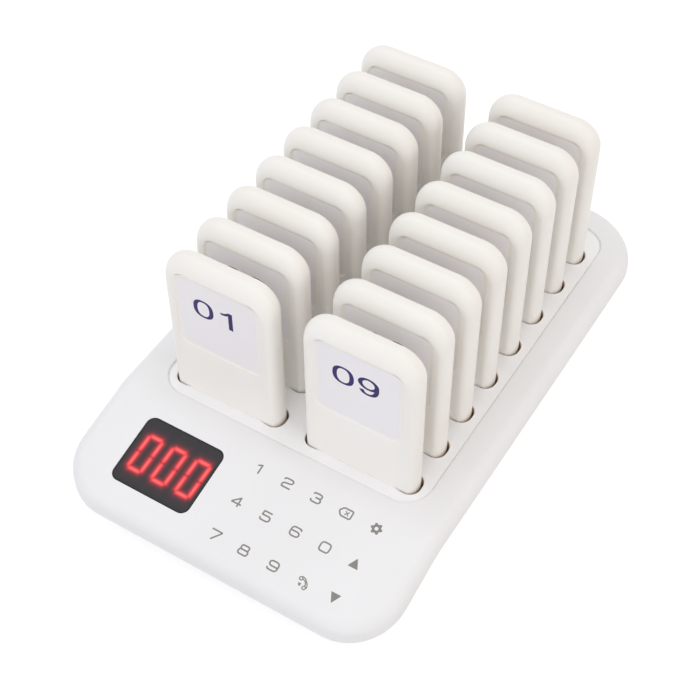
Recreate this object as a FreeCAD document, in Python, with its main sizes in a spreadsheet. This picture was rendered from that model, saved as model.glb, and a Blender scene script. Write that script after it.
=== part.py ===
import FreeCAD, Part
import Sketcher
import math
import os

# Guest pager system: a charging base with a sloping touch keypad and two rows of upright pagers.
# Millimetres. X runs to the right, Y to the back and Z up. The origin is on the table, in the middle
# of the base's outline. The keypad slopes down to the front, on the -Y side.

PAGERS_PER_ROW = 8
KEY_COLUMNS = 5
KEY_ROWS = 3

SIZES = [
    # Base casing
    ("base_length", 262.0),
    ("side_margin", 21.2),
    ("rear_margin", 35.3),
    ("deck_height", 32.0),
    ("front_corner_radius", 25.0),
    ("rear_corner_radius", 34.0),
    ("top_edge_radius", 6.5),
    ("wall", 2.2),
    ("keypad_run", 54.5),
    ("keypad_angle", 12.2),
    ("crease_radius", 26.0),
    # Skirt of the top cover: level along the pager deck, then down to the front edge
    ("skirt_height", 7.3),
    ("skirt_run", 50.0),
    ("skirt_angle", 15.9),
    # Bottom cover
    ("foot_height", 1.6),
    ("pan_side_inset", 12.0),
    ("pan_front_inset", 7.0),
    ("pan_front_radius", 15.0),
    ("pan_rear_radius", 22.0),
    ("rim_setback", 1.2),
    ("ledge_thickness", 1.6),
    # Pagers
    ("pager_width", 54.0),
    ("pager_height", 95.0),
    ("pager_thickness", 10.8),
    ("pager_corner_radius", 12.5),
    ("pager_edge_radius", 4.6),
    ("pager_wall", 1.6),
    ("pager_sink", 15.2),
    ("row_gap", 13.6),
    ("deck_lead", 16.8),
    # Slot tray
    ("tray_drop", 0.8),
    ("tray_side_margin", 5.8),
    ("tray_front_margin", 11.8),
    ("tray_rear_margin", 19.5),
    ("tray_radius", 13.0),
    ("tray_gap", 0.35),
    ("tray_lip", 2.0),
    ("tray_flange", 2.0),
    ("deck_lip_radius", 0.5),
    ("slot_side_clearance", 1.2),
    ("slot_face_clearance", 0.55),
    ("slot_lip_radius", 0.5),
    ("well_wall", 1.5),
    ("well_floor", 2.0),
    ("seat_gap", 0.1),
    # Display window, and the control board behind the keypad
    ("window_width", 40.0),
    ("window_length", 33.0),
    ("window_radius", 4.0),
    ("window_thickness", 1.5),
    ("window_inset", 43.8),
    ("window_down", 26.8),
    ("window_ledge", 2.0),
    ("window_gap", 0.1),
    ("display_width", 34.0),
    ("display_length", 24.0),
    ("key_lead", 36.2),
    ("key_down", 9.9),
    ("key_margin", 26.0),
    ("key_pitch_down", 16.9),
    ("key_pad_radius", 3.5),
    ("key_pad_gap", 0.2),
    ("board_depth", 8.5),
    ("board_thickness", 1.6),
    ("control_board_margin", 20.5),
    ("control_board_start", 5.0),
    ("control_board_length", 43.0),
    ("processor_width", 12.0),
    ("processor_height", 1.6),
    ("radio_width", 16.0),
    ("radio_length", 20.0),
    ("radio_height", 2.4),
    ("radio_offset", 34.0),
    ("sounder_radius", 6.0),
    ("sounder_height", 4.0),
    # Posts, screws and feet
    ("post_radius", 2.5),
    ("post_margin", 0.5),
    ("stake_radius", 1.2),
    ("stake_length", 2.2),
    ("hole_clearance", 0.1),
    ("boss_radius", 3.5),
    ("boss_foot_height", 9.0),
    ("tube_radius", 4.4),
    ("screw_radius", 1.4),
    ("screw_length", 12.0),
    ("screw_head_radius", 2.8),
    ("screw_head_height", 2.2),
    ("screw_head_seat", 6.0),
    ("screw_head_gap", 0.3),
    ("screw_shank_gap", 0.2),
    ("screw_thread_gap", 0.05),
    ("screw_slot_width", 0.8),
    ("screw_slot_length", 4.0),
    ("screw_slot_depth", 1.1),
    ("pilot_relief", 1.0),
    ("front_screw_margin", 16.0),
    ("front_screw_inset", 19.0),
    ("rear_screw_margin", 16.6),
    ("rear_screw_lead", 13.3),
    ("foot_radius", 6.0),
    ("foot_recess", 1.0),
    ("foot_margin", 25.0),
    ("foot_inset", 34.0),
    # Charging boards and their contact pins
    ("charging_board_width", 42.0),
    ("charging_board_overhang", 7.5),
    ("charging_board_drop", 3.0),
    ("pin_offset", 12.0),
    ("pin_radius", 1.0),
    ("pin_tip_radius", 0.6),
    ("pin_tip_length", 0.7),
    ("pin_gap", 0.3),
    ("pin_hole_gap", 0.2),
    # Pager electronics
    ("pager_board_margin", 3.0),
    ("pager_post_radius", 1.5),
    ("pager_board_thickness", 1.0),
    ("battery_width", 34.0),
    ("battery_length", 46.0),
    ("battery_thickness", 3.0),
    ("contact_width", 7.0),
    ("contact_depth", 4.0),
    ("contact_thickness", 0.8),
    ("contact_recess", 1.1),
    ("motor_radius", 5.0),
    ("motor_thickness", 2.7),
    ("motor_lead", 2.0),
    ("buzzer_radius", 6.0),
    ("buzzer_thickness", 2.5),
    # Rear panel with the power inlet and the power switch
    ("port_width", 60.0),
    ("port_height", 16.2),
    ("port_floor", 4.4),
    ("port_recess", 11.5),
    ("socket_x", -14.0),
    ("socket_width", 9.0),
    ("socket_height", 11.0),
    ("socket_length", 12.0),
    ("socket_nose_radius", 3.9),
    ("socket_bore_radius", 3.2),
    ("socket_bore_length", 9.0),
    ("socket_pin_radius", 1.0),
    ("switch_x", 14.0),
    ("switch_width", 13.2),
    ("switch_height", 8.6),
    ("switch_length", 10.0),
    ("bezel_width", 15.4),
    ("bezel_height", 10.8),
    ("bezel_thickness", 1.2),
    ("rocker_width", 11.0),
    ("rocker_height", 6.4),
    ("rocker_gap", 0.35),
    ("rocker_angle", 8.0),
    ("rocker_pivot_out", 0.4),
    ("rocker_pin_radius", 0.8),
    ("rocker_pin_gap", 0.05),
    ("rocker_pin_skin", 0.2),
    ("rocker_pin_end_gap", 0.1),
    ("rocker_depth", 3.2),
    ("rocker_rise", 2.4),
    ("rocker_taper", 0.3),
    ("rocker_foot_inset", 1.65),
    ("rocker_room", 1.6),
]

document = FreeCAD.newDocument("guest_pager_system")
sheet = document.addObject("Spreadsheet::Sheet", "Sizes")
for row, (alias, size) in enumerate(SIZES, start=1):
    sheet.set(f"A{row}", alias)
    sheet.set(f"B{row}", str(size))
    sheet.setAlias(f"B{row}", alias)
document.recompute()

# Places worked out from the sizes, written as expressions so that every bound property follows them.
CREASE_Y = "(Sizes.keypad_run - Sizes.base_length / 2)"
HALF_WIDTH = "(Sizes.pager_width + Sizes.row_gap / 2 + Sizes.side_margin)"
HALF_LENGTH = "(Sizes.base_length / 2)"
DECK_UNDERSIDE = "(Sizes.deck_height - Sizes.wall)"
SKIRT_LEVEL = "(Sizes.deck_height - Sizes.skirt_height)"
SKIRT_FOLD_Y = "(Sizes.skirt_run - Sizes.base_length / 2)"
PAN_FLOOR = "(Sizes.foot_height + Sizes.wall)"
ROW_X = "((Sizes.pager_width + Sizes.row_gap) / 2)"
FIRST_PAGER_Y = f"({CREASE_Y} + Sizes.deck_lead)"
ROW_LENGTH = "(Sizes.base_length - Sizes.keypad_run - Sizes.deck_lead - Sizes.rear_margin)"
PAGER_PITCH = f"({ROW_LENGTH} / {PAGERS_PER_ROW - 1})"
TRAY_TOP = "(Sizes.deck_height - Sizes.tray_drop)"
TRAY_HALF_WIDTH = "(Sizes.pager_width + Sizes.row_gap / 2 + Sizes.tray_side_margin)"
TRAY_FRONT = f"({FIRST_PAGER_Y} - Sizes.tray_front_margin)"
TRAY_REAR = f"({FIRST_PAGER_Y} + {ROW_LENGTH} + Sizes.tray_rear_margin)"
TRAY_PLATE_UNDERSIDE = f"({DECK_UNDERSIDE} - Sizes.tray_flange)"
WELL_SEAT = f"({TRAY_TOP} - Sizes.pager_sink)"
WELL_UNDERSIDE = f"({WELL_SEAT} - Sizes.well_floor)"
SLOT_HALF_WIDTH = "(Sizes.pager_width / 2 + Sizes.slot_side_clearance)"
SLOT_HALF_DEPTH = "(Sizes.pager_thickness / 2 + Sizes.slot_face_clearance)"
SLOT_RADIUS = "(Sizes.pager_edge_radius + Sizes.slot_face_clearance)"
CHARGING_BOARD_TOP = f"({WELL_UNDERSIDE} - Sizes.charging_board_drop)"
PORT_FACE_Y = f"({HALF_LENGTH} - Sizes.port_recess)"
PORT_PANEL_INSIDE = f"({PORT_FACE_Y} - Sizes.wall)"
PORT_CENTRE_Z = "(Sizes.port_floor + Sizes.port_height / 2)"
PAGER_BOARD_HALF = "(Sizes.pager_board_thickness / 2)"
PAGER_HALF_CAVITY = "(Sizes.pager_thickness / 2 - Sizes.pager_wall)"
PILOT_RADIUS = "(Sizes.screw_radius + Sizes.screw_thread_gap)"
PILOT_LENGTH = "(Sizes.screw_head_seat + Sizes.screw_length + Sizes.pilot_relief - Sizes.boss_foot_height)"
PAGER_HALF_WIDTH = "(Sizes.pager_width / 2)"
FRONT_SCREW_Y = "(Sizes.front_screw_inset - Sizes.base_length / 2)"
REAR_SCREW_Y = f"({FIRST_PAGER_Y} + {ROW_LENGTH} + Sizes.rear_screw_lead)"
MIDDLE_SCREW_YS = (
    f"({FIRST_PAGER_Y} + 2 * {PAGER_PITCH})",
    f"({FIRST_PAGER_Y} + 5 * {PAGER_PITCH})",
)
FRONT_SCREW_X = f"({HALF_WIDTH} - Sizes.front_screw_margin)"
REAR_SCREW_X = f"({TRAY_HALF_WIDTH} - Sizes.rear_screw_margin)"
FOOT_X = f"({HALF_WIDTH} - Sizes.foot_margin)"
FOOT_Y = f"({HALF_LENGTH} - Sizes.foot_inset)"
WINDOW_X = f"(Sizes.window_inset - {HALF_WIDTH})"
KEY_X = f"({WINDOW_X} + Sizes.key_lead)"
KEY_PITCH_X = f"(({HALF_WIDTH} - Sizes.key_margin - {KEY_X}) / {KEY_COLUMNS - 1})"
CONTROL_BOARD_HALF = f"({HALF_WIDTH} - Sizes.control_board_margin)"
ROCKER_PIVOT_Y = f"({PORT_FACE_Y} + Sizes.rocker_pivot_out)"


def value(expression):
    """Return the number that an expression on the sheet has now."""
    return float(sheet.evalExpression(str(expression)))


def bind(thing, **expressions):
    """Tie properties of a document object to expressions on the sheet."""
    for name, expression in expressions.items():
        thing.setExpression(name, str(expression))


def place(thing, x="0", y="0", z="0"):
    """Tie an object's position to expressions."""
    thing.setExpression("Placement.Base.x", x)
    thing.setExpression("Placement.Base.y", y)
    thing.setExpression("Placement.Base.z", z)


def turn(thing, axis, angle):
    """Turn an object about an axis through its own origin by an angle expression in degrees."""
    thing.Placement = FreeCAD.Placement(FreeCAD.Vector(), FreeCAD.Rotation(axis, value(angle)))
    thing.setExpression("Placement.Rotation.Angle", angle)


def lay_on_keypad(thing):
    """Put an object whose own X-Y plane is the keypad surface, with its origin at the crease."""
    turn(thing, FreeCAD.Vector(1, 0, 0), "Sizes.keypad_angle")
    place(thing, y=CREASE_Y, z="Sizes.deck_height")


def new_body(name):
    """Add an empty PartDesign body whose label is its name."""
    body = document.addObject("PartDesign::Body", name)
    body.Label = name
    return body


def origin_part(body, role):
    """Return a body's own origin plane or axis by its role."""
    return next(item for item in body.Origin.OriginFeatures if item.Role == role)


def new_sketch(body, name, plane="XY_Plane", height=None):
    """Attach an empty sketch to one of the body's origin planes, raised along the plane's normal."""
    sketch = body.newObject("Sketcher::SketchObject", name)
    sketch.AttachmentSupport = (origin_part(body, plane), [""])
    sketch.MapMode = "FlatFace"
    if height is not None:
        sketch.setExpression("AttachmentOffset.Base.z", height)
    return sketch


def keypad_sketch(body, name, depth="0"):
    """Attach an empty sketch to the sloping keypad surface, sunk by a depth, origin at the crease."""
    sketch = body.newObject("Sketcher::SketchObject", name)
    sketch.AttachmentSupport = (origin_part(body, "XY_Plane"), [""])
    sketch.MapMode = "FlatFace"
    tilt = FreeCAD.Rotation(FreeCAD.Vector(1, 0, 0), value("Sizes.keypad_angle"))
    sketch.AttachmentOffset = FreeCAD.Placement(FreeCAD.Vector(), tilt)
    sketch.setExpression("AttachmentOffset.Rotation.Angle", "Sizes.keypad_angle")
    sketch.setExpression("AttachmentOffset.Base.y", f"{CREASE_Y} + ({depth}) * sin(Sizes.keypad_angle)")
    sketch.setExpression(
        "AttachmentOffset.Base.z", f"Sizes.deck_height - ({depth}) * cos(Sizes.keypad_angle)"
    )
    return sketch


def locate(sketch, direction, geometry, point, expression):
    """Fix one coordinate of a sketch point, measured from the sketch's origin."""
    number = value(expression)
    if abs(number) < 1e-9:
        axis = -2 if direction == "DistanceX" else -1
        sketch.addConstraint(Sketcher.Constraint("PointOnObject", geometry, point, axis))
    elif number > 0:
        index = sketch.addConstraint(Sketcher.Constraint(direction, -1, 1, geometry, point, number))
        sketch.setExpression(f"Constraints[{index}]", expression)
    else:
        index = sketch.addConstraint(Sketcher.Constraint(direction, geometry, point, -1, 1, -number))
        sketch.setExpression(f"Constraints[{index}]", f"-({expression})")


def set_radius(sketch, geometry, expression):
    """Fix the radius of a circle or an arc."""
    index = sketch.addConstraint(Sketcher.Constraint("Radius", geometry, value(expression)))
    sketch.setExpression(f"Constraints[{index}]", expression)


def quarter(x, y, radius, start_degrees):
    """Return a quarter circle that runs anticlockwise from a start direction."""
    circle = Part.Circle(FreeCAD.Vector(x, y, 0), FreeCAD.Vector(0, 0, 1), radius)
    start = math.radians(start_degrees)
    return Part.ArcOfCircle(circle, start, start + math.pi / 2)


def segment(x0, y0, x1, y1):
    """Return a straight sketch line."""
    return Part.LineSegment(FreeCAD.Vector(x0, y0, 0), FreeCAD.Vector(x1, y1, 0))


def draw_rounded_rectangle(sketch, left, right, low, high, low_radius, high_radius):
    """Draw a rectangle whose two lower and two upper corners have their own radii."""
    x0, x1, y0, y1 = value(left), value(right), value(low), value(high)
    r0, r1 = value(low_radius), value(high_radius)
    first = sketch.GeometryCount
    outline = [
        segment(x0 + r0, y0, x1 - r0, y0),
        quarter(x1 - r0, y0 + r0, r0, 270),
        segment(x1, y0 + r0, x1, y1 - r1),
        quarter(x1 - r1, y1 - r1, r1, 0),
        segment(x1 - r1, y1, x0 + r1, y1),
        quarter(x0 + r1, y1 - r1, r1, 90),
        segment(x0, y1 - r1, x0, y0 + r0),
        quarter(x0 + r0, y0 + r0, r0, 180),
    ]
    for curve in outline:
        sketch.addGeometry(curve, False)
    for step in range(8):
        following = first + (step + 1) % 8
        sketch.addConstraint(Sketcher.Constraint("Tangent", first + step, 2, following, 1))
    for step, kind in ((0, "Horizontal"), (4, "Horizontal"), (2, "Vertical"), (6, "Vertical")):
        sketch.addConstraint(Sketcher.Constraint(kind, first + step))
    set_radius(sketch, first + 1, low_radius)
    sketch.addConstraint(Sketcher.Constraint("Equal", first + 1, first + 7))
    set_radius(sketch, first + 3, high_radius)
    sketch.addConstraint(Sketcher.Constraint("Equal", first + 3, first + 5))
    locate(sketch, "DistanceX", first + 2, 1, right)
    locate(sketch, "DistanceX", first + 6, 1, left)
    locate(sketch, "DistanceY", first, 1, low)
    locate(sketch, "DistanceY", first + 4, 1, high)


def draw_inset_plan(sketch, side, front, rear, front_radius, rear_radius):
    """Draw the base's outline moved inwards at its sides, front and rear."""
    draw_rounded_rectangle(
        sketch,
        f"({side}) - {HALF_WIDTH}",
        f"{HALF_WIDTH} - ({side})",
        f"({front}) - {HALF_LENGTH}",
        f"{HALF_LENGTH} - ({rear})",
        front_radius,
        rear_radius,
    )


def draw_polygon(sketch, corners):
    """Draw a closed polygon through corners given as pairs of expressions."""
    points = [(value(x), value(y)) for x, y in corners]
    first = sketch.GeometryCount
    count = len(points)
    for step, (x, y) in enumerate(points):
        following = points[(step + 1) % count]
        sketch.addGeometry(segment(x, y, following[0], following[1]), False)
    for step in range(count):
        following = first + (step + 1) % count
        sketch.addConstraint(Sketcher.Constraint("Coincident", first + step, 2, following, 1))
    for step, (x, y) in enumerate(corners):
        locate(sketch, "DistanceX", first + step, 1, x)
        locate(sketch, "DistanceY", first + step, 1, y)


def draw_circle(sketch, x, y, radius):
    """Draw a circle with its centre and radius bound to the sheet."""
    centre = FreeCAD.Vector(value(x), value(y), 0)
    index = sketch.addGeometry(Part.Circle(centre, FreeCAD.Vector(0, 0, 1), value(radius)), False)
    set_radius(sketch, index, radius)
    locate(sketch, "DistanceX", index, 3, x)
    locate(sketch, "DistanceY", index, 3, y)


def draw_fold(sketch, fold_y, level, angle, inset, far_side):
    """Draw the region on one side of a level line that folds down towards the front.

    The line is level behind fold_y and falls by the angle in front of it, with an arc between.
    It can be moved inwards, below itself, by an inset. The sketch lies on a Y-Z plane.
    """
    reach = value("Sizes.base_length")
    radius = f"(Sizes.crease_radius - ({inset}))"
    centre_y = f"({fold_y} + Sizes.crease_radius * tan({angle} / 2))"
    centre_z = f"({level} - Sizes.crease_radius)"
    inner_fold_y = f"({fold_y} + ({inset}) * tan({angle} / 2))"
    front_z = f"({level} - ({inset}) - (Sizes.base_length + {inner_fold_y}) * tan({angle}))"
    y, z, r = value(centre_y), value(centre_z), value(radius)
    lean = math.radians(value(angle))
    far = value(far_side)
    circle = Part.Circle(FreeCAD.Vector(y, z, 0), FreeCAD.Vector(0, 0, 1), r)
    foot_y = y - r * math.sin(lean)
    foot_z = z + r * math.cos(lean)
    sketch.addGeometry(segment(reach, z + r, y, z + r), False)
    sketch.addGeometry(Part.ArcOfCircle(circle, math.pi / 2, math.pi / 2 + lean), False)
    sketch.addGeometry(segment(foot_y, foot_z, -reach, value(front_z)), False)
    sketch.addGeometry(segment(-reach, value(front_z), -reach, far), False)
    sketch.addGeometry(segment(-reach, far, reach, far), False)
    sketch.addGeometry(segment(reach, far, reach, z + r), False)
    sketch.addConstraint(Sketcher.Constraint("Horizontal", 0))
    sketch.addConstraint(Sketcher.Constraint("Tangent", 0, 2, 1, 1))
    sketch.addConstraint(Sketcher.Constraint("Tangent", 1, 2, 2, 1))
    for step in (2, 3, 4):
        sketch.addConstraint(Sketcher.Constraint("Coincident", step, 2, step + 1, 1))
    sketch.addConstraint(Sketcher.Constraint("Coincident", 5, 2, 0, 1))
    sketch.addConstraint(Sketcher.Constraint("Vertical", 3))
    sketch.addConstraint(Sketcher.Constraint("Horizontal", 4))
    sketch.addConstraint(Sketcher.Constraint("Vertical", 5))
    set_radius(sketch, 1, radius)
    locate(sketch, "DistanceX", 1, 3, centre_y)
    locate(sketch, "DistanceY", 1, 3, centre_z)
    locate(sketch, "DistanceX", 0, 1, "Sizes.base_length")
    locate(sketch, "DistanceX", 2, 2, "-Sizes.base_length")
    locate(sketch, "DistanceY", 2, 2, front_z)
    locate(sketch, "DistanceY", 4, 1, far_side)


def pad(body, sketch, length, down=False, symmetric=False):
    """Extrude a sketch into material."""
    feature = body.newObject("PartDesign::Pad", sketch.Name + "_pad")
    feature.Profile = sketch
    feature.SideType = "Symmetric" if symmetric else "One side"
    feature.Reversed = down
    feature.setExpression("Length", length)
    return feature


def pocket(body, sketch, length, up=False, symmetric=False):
    """Cut a sketch out of the body, down from the sketch unless told to cut up or both ways."""
    feature = body.newObject("PartDesign::Pocket", sketch.Name + "_pocket")
    feature.Profile = sketch
    feature.SideType = "Symmetric" if symmetric else "One side"
    feature.Reversed = up
    feature.setExpression("Length", length)
    return feature


def repeat_along_row(body, feature):
    """Repeat a feature at every pager place of a row."""
    pattern = body.newObject("PartDesign::LinearPattern", feature.Name + "_row")
    pattern.Originals = [feature]
    pattern.Direction = (origin_part(body, "Y_Axis"), [""])
    pattern.setExpression("Length", ROW_LENGTH)
    pattern.Occurrences = PAGERS_PER_ROW
    body.Tip = pattern
    return pattern


def normal_z(face):
    """Return the Z part of a face's normal at its middle."""
    u0, u1, v0, v1 = face.ParameterRange
    return face.normalAt((u0 + u1) / 2, (v0 + v1) / 2).z


def edges_where(shape, test):
    """Return the names of the edges whose two faces pass a test together."""
    names = []
    for number, edge in enumerate(shape.Edges, start=1):
        faces = shape.ancestorsOfType(edge, Part.Face)
        if len(faces) == 2 and test(edge, faces):
            names.append(f"Edge{number}")
    return names


def round_edges(body, test, radius):
    """Fillet the edges of a body's newest feature that pass a test."""
    document.recompute()
    base = body.Tip
    feature = body.newObject("PartDesign::Fillet", base.Name + "_fillet")
    feature.Base = (base, edges_where(base.Shape, test))
    feature.setExpression("Radius", radius)
    return feature


def top_rim(edge, faces):
    """Say whether an edge lies between an upward face and an upright one."""
    slopes = sorted(abs(normal_z(face)) for face in faces)
    return slopes[0] < 0.05 and max(normal_z(face) for face in faces) > 0.8


def block(name, width, depth, height, x, y, z):
    """Add a box centred on X and Y that stands on z."""
    box = document.addObject("Part::Box", name)
    bind(box, Length=width, Width=depth, Height=height)
    place(box, f"({x}) - ({width}) / 2", f"({y}) - ({depth}) / 2", z)
    return box


def column(name, radius, height, x, y, z):
    """Add an upright cylinder that stands on z."""
    cylinder = document.addObject("Part::Cylinder", name)
    bind(cylinder, Radius=radius, Height=height)
    place(cylinder, x, y, z)
    return cylinder


def bar_along_y(name, radius, length, x, y, z):
    """Add a cylinder that starts at y and runs towards the back."""
    cylinder = document.addObject("Part::Cylinder", name)
    cylinder.Placement = FreeCAD.Placement(
        FreeCAD.Vector(), FreeCAD.Rotation(FreeCAD.Vector(1, 0, 0), -90)
    )
    bind(cylinder, Radius=radius, Height=length)
    place(cylinder, x, y, z)
    return cylinder


def fuse(name, shapes):
    """Join solids into one."""
    result = document.addObject("Part::MultiFuse", name)
    result.Shapes = shapes
    result.Refine = True
    return result


def cut(name, base, tool):
    """Take a tool away from a base."""
    result = document.addObject("Part::Cut", name)
    result.Base = base
    result.Tool = tool
    result.Refine = True
    return result


def group(name, pieces):
    """Keep separate solids together in one node."""
    result = document.addObject("Part::Compound", name)
    result.Links = pieces
    return result


def copy_at(name, original, x, y, z):
    """Add another example of a piece, placed by expressions."""
    link = document.addObject("App::Link", name)
    link.LinkedObject = original
    place(link, x, y, z)
    return link


def both_sides(distance):
    """Return the name and X expression of a pair that mirrors about the middle."""
    return (("left", f"-({distance})"), ("right", f"({distance})"))


def build_case_blank(name, inset):
    """Build the solid under the top surface, moved inwards by an inset: 0 makes the outside."""
    body = new_body(name)
    plan = new_sketch(body, name + "_plan")
    draw_inset_plan(
        plan,
        inset,
        inset,
        inset,
        f"Sizes.front_corner_radius - ({inset})",
        f"Sizes.rear_corner_radius - ({inset})",
    )
    pad(body, plan, "Sizes.deck_height")
    above = new_sketch(body, name + "_above", "YZ_Plane")
    draw_fold(above, CREASE_Y, "Sizes.deck_height", "Sizes.keypad_angle", inset, "Sizes.base_length")
    pocket(body, above, f"{HALF_WIDTH} * 4", symmetric=True)
    return body


def draw_tray_outline(sketch, margin):
    """Draw the slot tray's outline, grown outwards by a margin."""
    draw_rounded_rectangle(
        sketch,
        f"-{TRAY_HALF_WIDTH} - ({margin})",
        f"{TRAY_HALF_WIDTH} + ({margin})",
        f"{TRAY_FRONT} - ({margin})",
        f"{TRAY_REAR} + ({margin})",
        f"Sizes.tray_radius + ({margin})",
        f"Sizes.tray_radius + ({margin})",
    )


def draw_window_outline(sketch, margin):
    """Draw the display window's outline on a keypad sketch, grown outwards by a margin."""
    draw_rounded_rectangle(
        sketch,
        f"{WINDOW_X} - Sizes.window_width / 2 - ({margin})",
        f"{WINDOW_X} + Sizes.window_width / 2 + ({margin})",
        f"-Sizes.window_down - Sizes.window_length / 2 - ({margin})",
        f"-Sizes.window_down + Sizes.window_length / 2 + ({margin})",
        f"Sizes.window_radius + ({margin})",
        f"Sizes.window_radius + ({margin})",
    )


def tray_screw_places():
    """Return the names and X, Y expressions of the screws that hold the slot tray."""
    places = [(f"middle_{n}", "0", y) for n, y in enumerate(MIDDLE_SCREW_YS, start=1)]
    places += [(f"rear_{side}", x, REAR_SCREW_Y) for side, x in both_sides(REAR_SCREW_X)]
    return places


def front_screw_places():
    """Return the names and X, Y expressions of the screws that hold the top cover."""
    return [(f"front_{side}", x, FRONT_SCREW_Y) for side, x in both_sides(FRONT_SCREW_X)]


def build_top_cover():
    """Build the top shell with its window seat, tray opening, posts and screw bosses."""
    outside = build_case_blank("cover_outside", "0")
    round_edges(outside, top_rim, "Sizes.top_edge_radius")
    below = new_sketch(outside, "skirt_edge", "YZ_Plane")
    draw_fold(below, SKIRT_FOLD_Y, SKIRT_LEVEL, "Sizes.skirt_angle", "0", "-Sizes.base_length")
    pocket(outside, below, f"{HALF_WIDTH} * 4", symmetric=True)
    opening = new_sketch(outside, "tray_opening", height="Sizes.deck_height")
    draw_tray_outline(opening, "0")
    pocket(outside, opening, "Sizes.wall * 2")

    def opening_lip(edge, faces):
        at_deck = abs(edge.BoundBox.ZMin - value("Sizes.deck_height")) < 1e-4
        return at_deck and top_rim(edge, faces)

    round_edges(outside, opening_lip, "Sizes.deck_lip_radius")
    seat = keypad_sketch(outside, "window_seat")
    draw_window_outline(seat, "Sizes.window_gap")
    pocket(outside, seat, "Sizes.window_thickness")
    through = keypad_sketch(outside, "window_opening")
    draw_window_outline(through, "-Sizes.window_ledge")
    pocket(outside, through, "Sizes.wall * 2")

    inside = build_case_blank("cover_inside", "Sizes.wall")
    round_edges(inside, top_rim, "Sizes.top_edge_radius - Sizes.wall")
    shell = cut("cover_shell", outside, inside)

    posts = new_body("keypad_posts")
    shoulders = keypad_sketch(posts, "post_shoulders", "Sizes.board_depth")
    stakes = keypad_sketch(posts, "post_stakes", "Sizes.board_depth + Sizes.stake_length")
    for x, down in control_post_places():
        draw_circle(shoulders, x, f"-({down})", "Sizes.post_radius")
        draw_circle(stakes, x, f"-({down})", "Sizes.stake_radius")
    pad(posts, shoulders, "Sizes.board_depth - Sizes.wall / 2")
    pad(posts, stakes, "Sizes.board_depth")

    bosses, pilots = [], []
    for side, x, y in front_screw_places():
        panel = f"Sizes.deck_height + (({y}) - {CREASE_Y}) * tan(Sizes.keypad_angle) - Sizes.wall / 2"
        boss_height = f"{panel} - Sizes.boss_foot_height"
        start = (x, y, "Sizes.boss_foot_height")
        bosses.append(column(f"boss_{side}", "Sizes.boss_radius", boss_height, *start))
        pilots.append(column(f"pilot_{side}", PILOT_RADIUS, PILOT_LENGTH, *start))
    solid = fuse("cover_with_posts", [shell, posts] + bosses)
    return cut("top_cover", solid, fuse("cover_pilots", pilots))


def control_post_places():
    """Return the X and down-slope expressions of the posts that carry the control board."""
    margin = "(Sizes.post_radius + Sizes.post_margin)"
    upper = f"(Sizes.control_board_start + {margin})"
    lower = f"(Sizes.control_board_start + Sizes.control_board_length - {margin})"
    reach = f"({CONTROL_BOARD_HALF} - {margin})"
    between = f"({KEY_X} - {KEY_PITCH_X} / 2)"
    places = [(x, down) for x in (f"-{reach}", between) for down in (upper, lower)]
    places += [(reach, f"(Sizes.key_down + {rows} * Sizes.key_pitch_down)") for rows in (0.5, 1.5)]
    return places


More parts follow.
